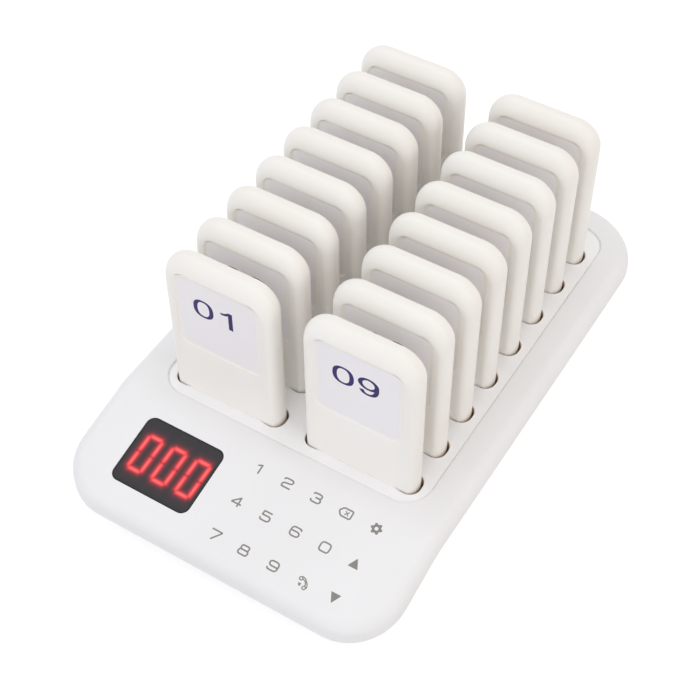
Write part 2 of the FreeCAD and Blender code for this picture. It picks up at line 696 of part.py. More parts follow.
def build_bottom_cover():
    """Build the pan under the base, with screw tubes, foot recesses and the rear port panel."""
    outer = new_body("pan_outside")
    low = new_sketch(outer, "pan_low", height="Sizes.foot_height")
    draw_inset_plan(
        low,
        "Sizes.pan_side_inset",
        "Sizes.pan_front_inset",
        "Sizes.pan_side_inset",
        "Sizes.pan_front_radius",
        "Sizes.pan_rear_radius",
    )
    high = new_sketch(outer, "pan_high", height=SKIRT_LEVEL)
    draw_inset_plan(
        high,
        "Sizes.rim_setback",
        "Sizes.rim_setback",
        "Sizes.rim_setback",
        "Sizes.front_corner_radius - Sizes.rim_setback",
        "Sizes.rear_corner_radius - Sizes.rim_setback",
    )
    walls = outer.newObject("PartDesign::AdditiveLoft", "pan_walls")
    walls.Profile = low
    walls.Sections = [high]
    walls.Ruled = True

    inner = new_body("pan_inside")
    inner_low = new_sketch(inner, "pan_inner_low", height=PAN_FLOOR)
    draw_inset_plan(
        inner_low,
        "Sizes.pan_side_inset + Sizes.wall",
        "Sizes.pan_front_inset + Sizes.wall",
        "Sizes.pan_side_inset + Sizes.wall",
        "Sizes.pan_front_radius - Sizes.wall",
        "Sizes.pan_rear_radius - Sizes.wall",
    )
    inner_high = new_sketch(inner, "pan_inner_high", height=SKIRT_LEVEL)
    draw_inset_plan(
        inner_high,
        "Sizes.rim_setback + Sizes.wall",
        "Sizes.rim_setback + Sizes.wall",
        "Sizes.rim_setback + Sizes.wall",
        "Sizes.front_corner_radius - Sizes.rim_setback - Sizes.wall",
        "Sizes.rear_corner_radius - Sizes.rim_setback - Sizes.wall",
    )
    hollow = inner.newObject("PartDesign::AdditiveLoft", "pan_hollow")
    hollow.Profile = inner_low
    hollow.Sections = [inner_high]
    hollow.Ruled = True

    ledge = new_body("pan_ledge")
    ledge_plan = new_sketch(ledge, "ledge_plan")
    draw_inset_plan(
        ledge_plan,
        "Sizes.rim_setback",
        "Sizes.rim_setback",
        "Sizes.rim_setback",
        "Sizes.front_corner_radius - Sizes.rim_setback",
        "Sizes.rear_corner_radius - Sizes.rim_setback",
    )
    pad(ledge, ledge_plan, SKIRT_LEVEL)
    under = new_sketch(ledge, "ledge_underside", "YZ_Plane")
    draw_fold(
        under, SKIRT_FOLD_Y, SKIRT_LEVEL, "Sizes.skirt_angle", "Sizes.ledge_thickness", "-Sizes.base_length"
    )
    pocket(ledge, under, f"{HALF_WIDTH} * 4", symmetric=True)

    port_block = block(
        "port_block",
        "Sizes.port_width + 2 * Sizes.wall",
        f"{HALF_LENGTH} - {PORT_PANEL_INSIDE}",
        "Sizes.port_floor + Sizes.port_height + Sizes.wall - Sizes.foot_height",
        "0",
        f"({HALF_LENGTH} + {PORT_PANEL_INSIDE}) / 2",
        "Sizes.foot_height",
    )
    port_walls = document.addObject("Part::Common", "port_walls")
    port_walls.Base = port_block
    port_walls.Tool = outer
    tubes = []
    tube_height = f"Sizes.boss_foot_height - {PAN_FLOOR} + Sizes.wall / 2"
    tube_base = f"{PAN_FLOOR} - Sizes.wall / 2"
    for name, x, y in front_screw_places() + tray_screw_places():
        tubes.append(column(f"tube_{name}", "Sizes.tube_radius", tube_height, x, y, tube_base))
    hollow_pan = cut("hollow_pan", fuse("pan_with_ledge", [outer, ledge]), inner)
    solid = fuse("pan_with_tubes", [hollow_pan, port_walls] + tubes)

    above = new_body("above_skirt")
    above_sketch = new_sketch(above, "above_skirt_profile", "YZ_Plane")
    draw_fold(above_sketch, SKIRT_FOLD_Y, SKIRT_LEVEL, "Sizes.skirt_angle", "0", "Sizes.base_length")
    pad(above, above_sketch, f"{HALF_WIDTH} * 4", symmetric=True)

    tools = [above]
    for name, x, y in front_screw_places() + tray_screw_places():
        head = "Sizes.screw_head_radius + Sizes.screw_head_gap"
        tools.append(column(f"head_recess_{name}", head, "Sizes.screw_head_seat", x, y, "0"))
        shank = "Sizes.screw_radius + Sizes.screw_shank_gap"
        tools.append(column(f"shank_hole_{name}", shank, "Sizes.boss_foot_height", x, y, "0"))
    for name, x, y in foot_places():
        recess = "Sizes.foot_radius + Sizes.hole_clearance"
        depth = "Sizes.foot_height + Sizes.foot_recess"
        tools.append(column(f"foot_recess_{name}", recess, depth, x, y, "0"))
    tools.append(
        block(
            "port_recess",
            "Sizes.port_width",
            "Sizes.base_length",
            "Sizes.port_height",
            "0",
            f"{PORT_FACE_Y} + {HALF_LENGTH}",
            "Sizes.port_floor",
        )
    )
    panel = "Sizes.wall * 2"
    tools.append(
        bar_along_y(
            "socket_hole",
            "Sizes.socket_nose_radius + Sizes.hole_clearance",
            panel,
            "Sizes.socket_x",
            f"{PORT_FACE_Y} - {panel}",
            PORT_CENTRE_Z,
        )
    )
    tools.append(
        block(
            "switch_hole",
            "Sizes.switch_width + 2 * Sizes.hole_clearance",
            panel,
            "Sizes.switch_height + 2 * Sizes.hole_clearance",
            "Sizes.switch_x",
            PORT_FACE_Y,
            f"{PORT_CENTRE_Z} - Sizes.switch_height / 2 - Sizes.hole_clearance",
        )
    )
    return cut("bottom_cover", solid, fuse("pan_cuts", tools))


def draw_both_slots(sketch, margin):
    """Draw the outline of the first slot of each row, grown outwards by a margin."""
    for _, x in both_sides(ROW_X):
        draw_rounded_rectangle(
            sketch,
            f"{x} - {SLOT_HALF_WIDTH} - ({margin})",
            f"{x} + {SLOT_HALF_WIDTH} + ({margin})",
            f"{FIRST_PAGER_Y} - {SLOT_HALF_DEPTH} - ({margin})",
            f"{FIRST_PAGER_Y} + {SLOT_HALF_DEPTH} + ({margin})",
            f"{SLOT_RADIUS} + ({margin})",
            f"{SLOT_RADIUS} + ({margin})",
        )


def build_slot_tray():
    """Build the tray: a plate with a well for each pager, board posts below and screw bosses."""
    tray = new_body("slot_tray")
    flange = new_sketch(tray, "tray_flange", height=TRAY_PLATE_UNDERSIDE)
    draw_tray_outline(flange, "Sizes.tray_lip")
    pad(tray, flange, "Sizes.tray_flange")
    deck = new_sketch(tray, "tray_deck", height=TRAY_PLATE_UNDERSIDE)
    draw_tray_outline(deck, "-Sizes.tray_gap")
    pad(tray, deck, f"{TRAY_TOP} - {TRAY_PLATE_UNDERSIDE}")
    wells = new_sketch(tray, "tray_wells", height=WELL_UNDERSIDE)
    draw_both_slots(wells, "Sizes.well_wall")
    repeat_along_row(tray, pad(tray, wells, f"{TRAY_PLATE_UNDERSIDE} - {WELL_UNDERSIDE} + Sizes.wall / 2"))
    shoulders = new_sketch(tray, "tray_posts", height=CHARGING_BOARD_TOP)
    stakes = new_sketch(tray, "tray_stakes", height=f"{CHARGING_BOARD_TOP} - Sizes.stake_length")
    for _, x in both_sides(ROW_X):
        draw_circle(shoulders, x, FIRST_PAGER_Y, "Sizes.post_radius")
        draw_circle(stakes, x, FIRST_PAGER_Y, "Sizes.stake_radius")
    repeat_along_row(tray, pad(tray, shoulders, "Sizes.charging_board_drop + Sizes.well_floor / 2"))
    repeat_along_row(tray, pad(tray, stakes, "Sizes.stake_length + Sizes.charging_board_drop"))
    bosses = new_sketch(tray, "tray_bosses", height="Sizes.boss_foot_height")
    pilots = new_sketch(tray, "tray_pilots", height="Sizes.boss_foot_height")
    for _, x, y in tray_screw_places():
        draw_circle(bosses, x, y, "Sizes.boss_radius")
        draw_circle(pilots, x, y, PILOT_RADIUS)
    pad(tray, bosses, f"{TRAY_PLATE_UNDERSIDE} - Sizes.boss_foot_height + Sizes.wall / 2")
    pocket(tray, pilots, PILOT_LENGTH, up=True)
    slots = new_sketch(tray, "tray_slots", height=TRAY_TOP)
    draw_both_slots(slots, "0")
    repeat_along_row(tray, pocket(tray, slots, "Sizes.pager_sink"))
    pin_holes = new_sketch(tray, "tray_pin_holes", height=WELL_SEAT)
    for _, x in both_sides(ROW_X):
        for sign in ("-", "+"):
            hole = "Sizes.pin_radius + Sizes.pin_hole_gap"
            draw_circle(pin_holes, f"{x} {sign} Sizes.pin_offset", FIRST_PAGER_Y, hole)
    repeat_along_row(tray, pocket(tray, pin_holes, "Sizes.well_floor * 2"))

    def deck_edge(edge, faces):
        at_top = abs(edge.BoundBox.ZMin - value(TRAY_TOP)) < 1e-4
        return at_top and top_rim(edge, faces)

    round_edges(tray, deck_edge, "Sizes.slot_lip_radius")
    return tray


def build_display_window():
    """Build the smoked window that lies flush in the keypad panel."""
    window = new_body("display_window")
    outline = new_sketch(window, "window_outline", height="-Sizes.window_thickness")
    draw_window_outline(outline, "0")
    pad(window, outline, "Sizes.window_thickness")
    lay_on_keypad(window)
    return window


def build_display_module():
    """Build the block that holds the three lit digits, under the window and on the control board."""
    module = block(
        "display_module",
        "Sizes.display_width",
        "Sizes.display_length",
        "Sizes.board_depth - Sizes.window_thickness",
        "0",
        "0",
        "0",
    )
    turn(module, FreeCAD.Vector(1, 0, 0), "Sizes.keypad_angle")
    along = "(-Sizes.window_down - Sizes.display_length / 2)"
    deep = "Sizes.board_depth"
    place(
        module,
        f"{WINDOW_X} - Sizes.display_width / 2",
        f"{CREASE_Y} + {along} * cos(Sizes.keypad_angle) + {deep} * sin(Sizes.keypad_angle)",
        f"Sizes.deck_height + {along} * sin(Sizes.keypad_angle) - {deep} * cos(Sizes.keypad_angle)",
    )
    return module


def build_control_board():
    """Build the board behind the keypad: circuit board, touch pads, processor, radio and buzzer."""
    board_top = "(-Sizes.board_depth)"
    board_under = "(-Sizes.board_depth - Sizes.board_thickness)"
    plate = new_body("control_plate")
    outline = new_sketch(plate, "control_outline", height=board_under)
    draw_polygon(
        outline,
        [
            (f"-{CONTROL_BOARD_HALF}", "-Sizes.control_board_start - Sizes.control_board_length"),
            (CONTROL_BOARD_HALF, "-Sizes.control_board_start - Sizes.control_board_length"),
            (CONTROL_BOARD_HALF, "-Sizes.control_board_start"),
            (f"-{CONTROL_BOARD_HALF}", "-Sizes.control_board_start"),
        ],
    )
    pad(plate, outline, "Sizes.board_thickness")
    holes = new_sketch(plate, "control_stake_holes", height=board_top)
    for x, down in control_post_places():
        draw_circle(holes, x, f"-({down})", "Sizes.stake_radius + Sizes.hole_clearance")
    pocket(plate, holes, "Sizes.board_thickness * 2")
    pieces = [plate]
    pad_height = "Sizes.board_depth - Sizes.wall - Sizes.key_pad_gap"
    for key_row in range(KEY_ROWS):
        for key_column in range(KEY_COLUMNS):
            x = f"{KEY_X} + {key_column} * {KEY_PITCH_X}"
            y = f"-Sizes.key_down - {key_row} * Sizes.key_pitch_down"
            name = f"touch_pad_{key_row}_{key_column}"
            pieces.append(column(name, "Sizes.key_pad_radius", pad_height, x, y, board_top))
    middle = "(-Sizes.control_board_start - Sizes.control_board_length / 2)"
    chips = [
        block(
            "processor",
            "Sizes.processor_width",
            "Sizes.processor_width",
            "Sizes.processor_height",
            KEY_X,
            middle,
            f"{board_under} - Sizes.processor_height",
        ),
        block(
            "radio_can",
            "Sizes.radio_width",
            "Sizes.radio_length",
            "Sizes.radio_height",
            f"{KEY_X} + Sizes.radio_offset",
            middle,
            f"{board_under} - Sizes.radio_height",
        ),
        column(
            "sounder",
            "Sizes.sounder_radius",
            "Sizes.sounder_height",
            WINDOW_X,
            middle,
            f"{board_under} - Sizes.sounder_height",
        ),
    ]
    board = group("control_board", pieces + chips)
    lay_on_keypad(board)
    return board


def build_charging_boards():
    """Build the two boards under the wells, each with its spring contact pins."""
    plate = new_body("charging_plate")
    outline = new_sketch(plate, "charging_outline", height=f"{CHARGING_BOARD_TOP} - Sizes.board_thickness")
    half = "Sizes.charging_board_width / 2"
    front = f"{FIRST_PAGER_Y} - Sizes.charging_board_overhang"
    rear = f"{FIRST_PAGER_Y} + {ROW_LENGTH} + Sizes.charging_board_overhang"
    draw_polygon(outline, [(f"-{half}", front), (half, front), (half, rear), (f"-{half}", rear)])
    pad(plate, outline, "Sizes.board_thickness")
    holes = new_sketch(plate, "charging_stake_holes", height=CHARGING_BOARD_TOP)
    draw_circle(holes, "0", FIRST_PAGER_Y, "Sizes.stake_radius + Sizes.hole_clearance")
    repeat_along_row(plate, pocket(plate, holes, "Sizes.board_thickness * 2"))

    pin = new_body("contact_pin")
    profile = new_sketch(pin, "pin_profile", "XZ_Plane")
    pad_height = "Sizes.charging_board_drop + Sizes.well_floor + Sizes.seat_gap + Sizes.contact_recess"
    tip_top = f"{pad_height} - Sizes.pin_gap"
    shoulder = f"{tip_top} - Sizes.pin_tip_length"
    corners = [
        ("0", "0"),
        ("Sizes.pin_radius", "0"),
        ("Sizes.pin_radius", shoulder),
        ("Sizes.pin_tip_radius", shoulder),
        ("Sizes.pin_tip_radius", tip_top),
        ("0", tip_top),
    ]
    draw_polygon(profile, corners)
    spin = pin.newObject("PartDesign::Revolution", "pin_revolution")
    spin.Profile = profile
    spin.ReferenceAxis = (origin_part(pin, "Z_Axis"), [""])
    spin.Angle = 360

    pieces = []
    for side, x in both_sides(ROW_X):
        pieces.append(copy_at(f"charging_plate_{side}", plate, x, "0", "0"))
        for number in range(PAGERS_PER_ROW):
            y = f"{FIRST_PAGER_Y} + {number} * {PAGER_PITCH}"
            for pole, offset in (("minus", "-Sizes.pin_offset"), ("plus", "+Sizes.pin_offset")):
                name = f"contact_pin_{side}_{number}_{pole}"
                pieces.append(copy_at(name, pin, f"{x} {offset}", y, CHARGING_BOARD_TOP))
    return group("charging_boards", pieces)


def build_screws():
    """Build the six screws that close the base from below."""
    screw = new_body("case_screw")
    profile = new_sketch(screw, "screw_profile", "XZ_Plane")
    corners = [
        ("0", "-Sizes.screw_head_height"),
        ("Sizes.screw_head_radius", "-Sizes.screw_head_height"),
        ("Sizes.screw_head_radius", "0"),
        ("Sizes.screw_radius", "0"),
        ("Sizes.screw_radius", "Sizes.screw_length"),
        ("0", "Sizes.screw_length"),
    ]
    draw_polygon(profile, corners)
    spin = screw.newObject("PartDesign::Revolution", "screw_revolution")
    spin.Profile = profile
    spin.ReferenceAxis = (origin_part(screw, "Z_Axis"), [""])
    spin.Angle = 360
    long_half, short_half = "Sizes.screw_slot_length / 2", "Sizes.screw_slot_width / 2"
    for number, (x, y) in enumerate(((long_half, short_half), (short_half, long_half))):
        slot = new_sketch(screw, f"screw_slot_{number}", height="-Sizes.screw_head_height")
        draw_polygon(slot, [(f"-{x}", f"-{y}"), (x, f"-{y}"), (x, y), (f"-{x}", y)])
        pocket(screw, slot, "Sizes.screw_slot_depth", up=True)
    places = front_screw_places() + tray_screw_places()
    return group(
        "case_screws",
        [copy_at(f"case_screw_{name}", screw, x, y, "Sizes.screw_head_seat") for name, x, y in places],
    )


def foot_places():
    """Return the names and X, Y expressions of the four feet."""
    return [
        (f"{side}_{end}", x, f"{sign}{FOOT_Y}")
        for side, x in both_sides(FOOT_X)
        for end, sign in (("front", "-"), ("rear", "+"))
    ]


def build_feet():
    """Build the four rubber feet, each set into a recess of the bottom cover."""
    height = "Sizes.foot_height + Sizes.foot_recess"
    return group(
        "rubber_feet",
        [column(f"foot_{name}", "Sizes.foot_radius", height, x, y, "0") for name, x, y in foot_places()],
    )


def build_power_socket():
    """Build the round low-voltage inlet behind the rear panel: a housing and its centre pin."""
    housing = block(
        "socket_block",
        "Sizes.socket_width",
        "Sizes.socket_length",
        "Sizes.socket_height",
        "Sizes.socket_x",
        f"{PORT_PANEL_INSIDE} - Sizes.socket_length / 2",
        f"{PORT_CENTRE_Z} - Sizes.socket_height / 2",
    )
    nose_length = "(Sizes.wall + Sizes.socket_bore_length)"
    nose_start = f"{PORT_FACE_Y} - {nose_length}"
    nose = bar_along_y(
        "socket_nose", "Sizes.socket_nose_radius", nose_length, "Sizes.socket_x", nose_start, PORT_CENTRE_Z
    )
    bore_start = f"{PORT_FACE_Y} - Sizes.socket_bore_length"
    bore = bar_along_y(
        "socket_bore",
        "Sizes.socket_bore_radius",
        "Sizes.socket_bore_length * 2",
        "Sizes.socket_x",
        bore_start,
        PORT_CENTRE_Z,
    )
    shell = cut("socket_shell", fuse("socket_solid", [housing, nose]), bore)
    pin = bar_along_y(
        "socket_pin",
        "Sizes.socket_pin_radius",
        "Sizes.socket_bore_length - 1",
        "Sizes.socket_x",
        bore_start,
        PORT_CENTRE_Z,
    )
    return group("power_socket", [shell, pin])


def build_switch_housing():
    """Build the frame of the power switch, with a cavity and pivot holes for the rocker."""
    rear_face = f"({PORT_FACE_Y} + Sizes.bezel_thickness)"
    case = block(
        "switch_case",
        "Sizes.switch_width",
        "Sizes.switch_length + Sizes.bezel_thickness",
        "Sizes.switch_height",
        "Sizes.switch_x",
        f"{rear_face} - (Sizes.switch_length + Sizes.bezel_thickness) / 2",
        f"{PORT_CENTRE_Z} - Sizes.switch_height / 2",
    )
    bezel = block(
        "switch_bezel",
        "Sizes.bezel_width",
        "Sizes.bezel_thickness",
        "Sizes.bezel_height",
        "Sizes.switch_x",
        f"{PORT_FACE_Y} + Sizes.bezel_thickness / 2",
        f"{PORT_CENTRE_Z} - Sizes.bezel_height / 2",
    )
    cavity_depth = "(Sizes.rocker_depth + Sizes.bezel_thickness + Sizes.rocker_room)"
    cavity = block(
        "switch_cavity",
        "Sizes.rocker_width + 2 * Sizes.rocker_gap",
        f"{cavity_depth} * 2",
        "Sizes.rocker_height + 2 * Sizes.rocker_gap",
        "Sizes.switch_x",
        rear_face,
        f"{PORT_CENTRE_Z} - Sizes.rocker_height / 2 - Sizes.rocker_gap",
    )
    pivot_holes = column(
        "switch_pivot_holes",
        "Sizes.rocker_pin_radius + Sizes.rocker_pin_gap",
        "Sizes.switch_height - 2 * Sizes.rocker_pin_skin",
        "Sizes.switch_x",
        ROCKER_PIVOT_Y,
        f"{PORT_CENTRE_Z} - Sizes.switch_height / 2 + Sizes.rocker_pin_skin",
    )
    solid = fuse("switch_solid", [case, bezel])
    return cut("switch_housing", solid, fuse("switch_cuts", [cavity, pivot_holes]))


def build_switch_rocker():
    """Build the rocker, tipped to its ON side, with its two pivot pins."""
    rocker = new_body("switch_rocker")
    profile = new_sketch(rocker, "rocker_profile", height="-Sizes.rocker_height / 2")
    end = "Sizes.rocker_width / 2"
    rise = "Sizes.rocker_rise"
    inner = "(Sizes.rocker_width / 2 - Sizes.rocker_foot_inset)"
    draw_polygon(
        profile,
        [
            (f"-{inner}", "-Sizes.rocker_depth"),
            (inner, "-Sizes.rocker_depth"),
            (end, "0"),
            (f"{end} - Sizes.rocker_taper", rise),
            ("0", f"{rise} - ({end}) * tan(Sizes.rocker_angle)"),
            (f"Sizes.rocker_taper - {end}", rise),
            (f"-{end}", "0"),
        ],
    )
    pad(rocker, profile, "Sizes.rocker_height")
    pin_end = "(Sizes.switch_height / 2 - Sizes.rocker_pin_skin - Sizes.rocker_pin_end_gap)"
    pins = new_sketch(rocker, "rocker_pins", height=f"-{pin_end}")
    draw_circle(pins, "0", "0", "Sizes.rocker_pin_radius")
    pad(rocker, pins, f"2 * {pin_end}")
    turn(rocker, FreeCAD.Vector(0, 0, 1), "Sizes.rocker_angle")
    place(rocker, "Sizes.switch_x", ROCKER_PIVOT_Y, PORT_CENTRE_Z)
    return rocker


def draw_pager_outline(sketch, margin):
    """Draw the pager's upright outline on an X-Z sketch, moved inwards by a margin."""
    draw_rounded_rectangle(
        sketch,
        f"({margin}) - {PAGER_HALF_WIDTH}",
        f"{PAGER_HALF_WIDTH} - ({margin})",
        margin,
        f"Sizes.pager_height - ({margin})",
        f"Sizes.pager_corner_radius - ({margin})",
        f"Sizes.pager_corner_radius - ({margin})",
    )


def pager_post_places():
    """Return the X and Z expressions of the posts that hold a pager's board."""
    reach = f"({PAGER_HALF_WIDTH} - Sizes.pager_corner_radius)"
    low = "Sizes.pager_corner_radius"
    high = "(Sizes.pager_height - Sizes.pager_corner_radius)"
    return [(f"-{reach}", low), (reach, low), (f"-{reach}", high), (reach, high)]


def build_pager_cover(name, is_front):
    """Build one half shell of a pager, split at its middle plane."""
    cover = new_body(name)
    outline = new_sketch(cover, name + "_outline", "XZ_Plane")
    draw_pager_outline(outline, "0")
    pad(cover, outline, "Sizes.pager_thickness / 2", down=not is_front)
    outside_y = "-Sizes.pager_thickness / 2" if is_front else "Sizes.pager_thickness / 2"
    inside_y = f"-{PAGER_HALF_CAVITY}" if is_front else PAGER_HALF_CAVITY

    def at_depth(depth):
        def test(edge, faces):
            box = edge.BoundBox
            return abs(box.YMin - value(depth)) < 1e-4 and abs(box.YMax - value(depth)) < 1e-4

        return test

    round_edges(cover, at_depth(outside_y), "Sizes.pager_edge_radius")
    cavity = new_sketch(cover, name + "_cavity", "XZ_Plane")
    draw_pager_outline(cavity, "Sizes.pager_wall")
    pocket(cover, cavity, PAGER_HALF_CAVITY, up=is_front)
    round_edges(cover, at_depth(inside_y), "Sizes.pager_edge_radius - Sizes.pager_wall")
    posts_height = f"-{PAGER_BOARD_HALF}" if not is_front else PAGER_BOARD_HALF
    posts = new_sketch(cover, name + "_posts", "XZ_Plane", posts_height)
    for x, z in pager_post_places():
        draw_circle(posts, x, z, "Sizes.pager_post_radius")
    post_length = f"{PAGER_HALF_CAVITY} - {PAGER_BOARD_HALF} + Sizes.pager_wall / 2"
    pad(cover, posts, post_length, down=not is_front)
    notches = new_sketch(cover, name + "_contact_notches", "XZ_Plane")
    for _, x in both_sides("Sizes.pin_offset"):
        half = "(Sizes.contact_width / 2 + Sizes.hole_clearance)"
        top = "Sizes.pager_wall + Sizes.contact_recess"
        corners = [
            (f"{x} - {half}", "-Sizes.pager_wall"),
            (f"{x} + {half}", "-Sizes.pager_wall"),
            (f"{x} + {half}", top),
            (f"{x} - {half}", top),
        ]
        draw_polygon(notches, corners)
    pocket(cover, notches, "Sizes.contact_depth / 2 + Sizes.hole_clearance", up=is_front)
    return cover


def build_pager_electronics():
    """Build the inside of a pager: board, battery, vibration motor, buzzer and charge contacts."""
    margin = "(Sizes.pager_wall + Sizes.pager_board_margin)"
    plate = new_body("pager_plate")
    outline = new_sketch(plate, "pager_plate_outline", "XZ_Plane", f"-{PAGER_BOARD_HALF}")
    draw_pager_outline(outline, margin)
    pad(plate, outline, "Sizes.pager_board_thickness")
    middle = "Sizes.pager_height / 2"
    battery_y = f"{PAGER_BOARD_HALF} + Sizes.battery_thickness / 2"
    battery_z = f"{middle} - Sizes.battery_length / 2"
    pieces = [
        plate,
        block(
            "battery",
            "Sizes.battery_width",
            "Sizes.battery_thickness",
            "Sizes.battery_length",
            "0",
            battery_y,
            battery_z,
        ),
    ]
    motor_z = f"{battery_z} + Sizes.battery_length + Sizes.motor_lead + Sizes.motor_radius"
    motor = ("Sizes.motor_radius", "Sizes.motor_thickness", "0", PAGER_BOARD_HALF, motor_z)
    pieces.append(bar_along_y("motor", *motor))
    buzzer_y = f"-{PAGER_BOARD_HALF} - Sizes.buzzer_thickness"
    buzzer = ("Sizes.buzzer_radius", "Sizes.buzzer_thickness", "0", buzzer_y, middle)
    pieces.append(bar_along_y("buzzer", *buzzer))
    foot = "Sizes.contact_recess"
    thickness = "Sizes.contact_thickness"
    width = "Sizes.contact_width"
    leg_height = f"{margin} + Sizes.contact_width / 2 - {foot}"
    leg_y = f"{PAGER_BOARD_HALF} + Sizes.contact_thickness / 2"
    for side, x in both_sides("Sizes.pin_offset"):
        blade = block(f"contact_blade_{side}", width, "Sizes.contact_depth", thickness, x, "0", foot)
        leg = block(f"contact_leg_{side}", f"{width} / 2", thickness, leg_height, x, leg_y, foot)
        pieces.append(fuse(f"contact_{side}", [blade, leg]))
    return group("pager_inside", pieces)


def build_pagers():
    """Build sixteen pagers from one set of covers and electronics."""
    originals = {
        "front_cover": build_pager_cover("pager_front_cover", True),
        "rear_cover": build_pager_cover("pager_rear_cover", False),
        "electronics": build_pager_electronics(),
    }
    nodes = []
    number = 0
    seat = f"{WELL_SEAT} + Sizes.seat_gap"
    for _, x in both_sides(ROW_X):
        for place_in_row in range(PAGERS_PER_ROW):
            number += 1
            y = f"{FIRST_PAGER_Y} + {place_in_row} * {PAGER_PITCH}"
            for part_name, original in originals.items():
                nodes.append(copy_at(f"pager_{number:02d}_{part_name}", original, x, y, seat))
    return nodes


def check_document():
    """Stop if any object failed or any shape is empty or not valid."""
    for item in document.Objects:
        if "Invalid" in item.State or "Error" in item.State:
            raise RuntimeError(f"{item.Label} failed: {item.State}")
        if item.isDerivedFrom("Part::Feature") and item.TypeId != "Sketcher::SketchObject":
            if item.Shape.isNull() or not item.Shape.isValid():
                raise RuntimeError(f"{item.Label} has no valid shape")


def write_nodes(nodes):
    """Write each sub-part to its own STEP file."""
    os.makedirs("parts", exist_ok=True)
    for node in nodes:
        shape = Part.getShape(node)
        if shape.isNull() or not shape.isValid() or not shape.Solids:
            raise RuntimeError(f"{node.Label} has no valid solid")
        shape.exportStep(f"parts/{node.Label}.step")
        box = shape.BoundBox
        size = f"{box.XLength:.1f} x {box.YLength:.1f} x {box.ZLength:.1f} mm"
        print(f"{node.Label}: {len(shape.Solids)} solids, {shape.Volume:.0f} mm3, {size}")


base_nodes = [
    build_top_cover(),
    build_bottom_cover(),
    build_slot_tray(),
    build_display_window(),
    build_display_module(),
    build_control_board(),
    build_charging_boards(),
    build_screws(),
    build_feet(),
    build_power_socket(),
    build_switch_housing(),
    build_switch_rocker(),
]
pager_nodes = build_pagers()
document.recompute()
check_document()
write_nodes(base_nodes + pager_nodes)
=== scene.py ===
"""Looks of a guest pager system: a charging base with a touch keypad, a lit display and sixteen pagers.

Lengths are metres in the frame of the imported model: X runs to the right, Y to the back and Z up, with the
origin on the table in the middle of the base. Sizes are written in millimetres times MM.
"""

from __future__ import annotations

import logging
from collections.abc import Mapping, Sequence
from dataclasses import dataclass, field
from enum import Enum

import bmesh
import bpy
import numpy as np
from mathutils import Matrix, Vector

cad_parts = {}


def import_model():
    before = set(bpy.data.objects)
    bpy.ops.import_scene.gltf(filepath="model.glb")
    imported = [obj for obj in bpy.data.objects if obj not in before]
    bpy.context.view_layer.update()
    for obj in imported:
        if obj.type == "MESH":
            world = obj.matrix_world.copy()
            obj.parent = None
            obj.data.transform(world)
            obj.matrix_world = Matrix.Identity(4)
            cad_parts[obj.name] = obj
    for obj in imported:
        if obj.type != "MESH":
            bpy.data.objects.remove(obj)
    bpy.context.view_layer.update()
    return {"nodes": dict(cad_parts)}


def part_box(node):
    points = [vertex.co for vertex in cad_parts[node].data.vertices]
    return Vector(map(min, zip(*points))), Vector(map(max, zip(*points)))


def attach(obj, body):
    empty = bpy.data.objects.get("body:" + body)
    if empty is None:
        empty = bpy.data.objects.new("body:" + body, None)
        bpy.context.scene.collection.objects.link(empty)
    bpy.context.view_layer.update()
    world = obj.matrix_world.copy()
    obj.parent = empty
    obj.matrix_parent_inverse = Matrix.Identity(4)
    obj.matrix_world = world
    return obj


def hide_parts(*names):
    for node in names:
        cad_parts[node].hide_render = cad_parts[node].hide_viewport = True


MM = 0.001
PAGERS = 16
INK = 0.03 * MM
CREASE = 35.0
RIGHT, BACK, UP = np.eye(3)
Colour = tuple[float, float, float, float]
WHITE: Colour = (1.0, 1.0, 1.0, 1.0)
log = logging.getLogger("guest_pager_system")


def tone(code: str) -> Colour:
    """Turn a written colour into the linear one that shaders take.

    Args:
        code: Red, green and blue as six hexadecimal digits.

    Returns:
        The linear colour with full alpha. A part above 0.04045 is ((c + 0.055) / 1.055) to the power 2.4.
    """
    parts = np.array([int(code[i : i + 2], 16) for i in (0, 2, 4)]) / 255.0
    linear = np.where(parts <= 0.04045, parts / 12.92, ((parts + 0.055) / 1.055) ** 2.4)
    return (float(linear[0]), float(linear[1]), float(linear[2]), 1.0)


# ---------------------------------------------------------------- shader maths


class Signal:
    """A value on its way through a shader, with Python's own arithmetic."""

    def __init__(self, paint: Paint, socket: bpy.types.NodeSocket) -> None:
        """Wrap one output socket of a tree under construction."""
        self.paint = paint
        self.socket = socket

    def _math(self, operation: str, *values: Signal | float) -> Signal:
        """Add one Math node."""
        return self.paint.signal("ShaderNodeMath", {"operation": operation}, dict(enumerate(values)))

    def __add__(self, other: Signal | float) -> Signal:
        """Sum."""
        return self._math("ADD", self, other)

    def __radd__(self, other: float) -> Signal:
        """Sum with a number on the left."""
        return self._math("ADD", other, self)

    def __sub__(self, other: Signal | float) -> Signal:
        """Difference."""
        return self._math("SUBTRACT", self, other)

    def __rsub__(self, other: float) -> Signal:
        """Difference from a number on the left."""
        return self._math("SUBTRACT", other, self)

    def __mul__(self, other: Signal | float) -> Signal:
        """Product."""
        return self._math("MULTIPLY", self, other)

    def __rmul__(self, other: float) -> Signal:
        """Product with a number on the left."""
        return self._math("MULTIPLY", other, self)

    def __gt__(self, other: Signal | float) -> Signal:
        """One where this value is the larger, otherwise zero."""
        return self._math("GREATER_THAN", self, other)

    def clamped(self) -> Signal:
        """The value held between zero and one."""
        return self._math("MAXIMUM", 0.0, self._math("MINIMUM", 1.0, self))

    def smoothed(self, low: float, high: float) -> Signal:
        """Zero under low, one over high, and a smooth step between them."""
        settings = {"interpolation_type": "SMOOTHSTEP"}
        return self.paint.signal("ShaderNodeMapRange", settings, {0: self, 1: low, 2: high})


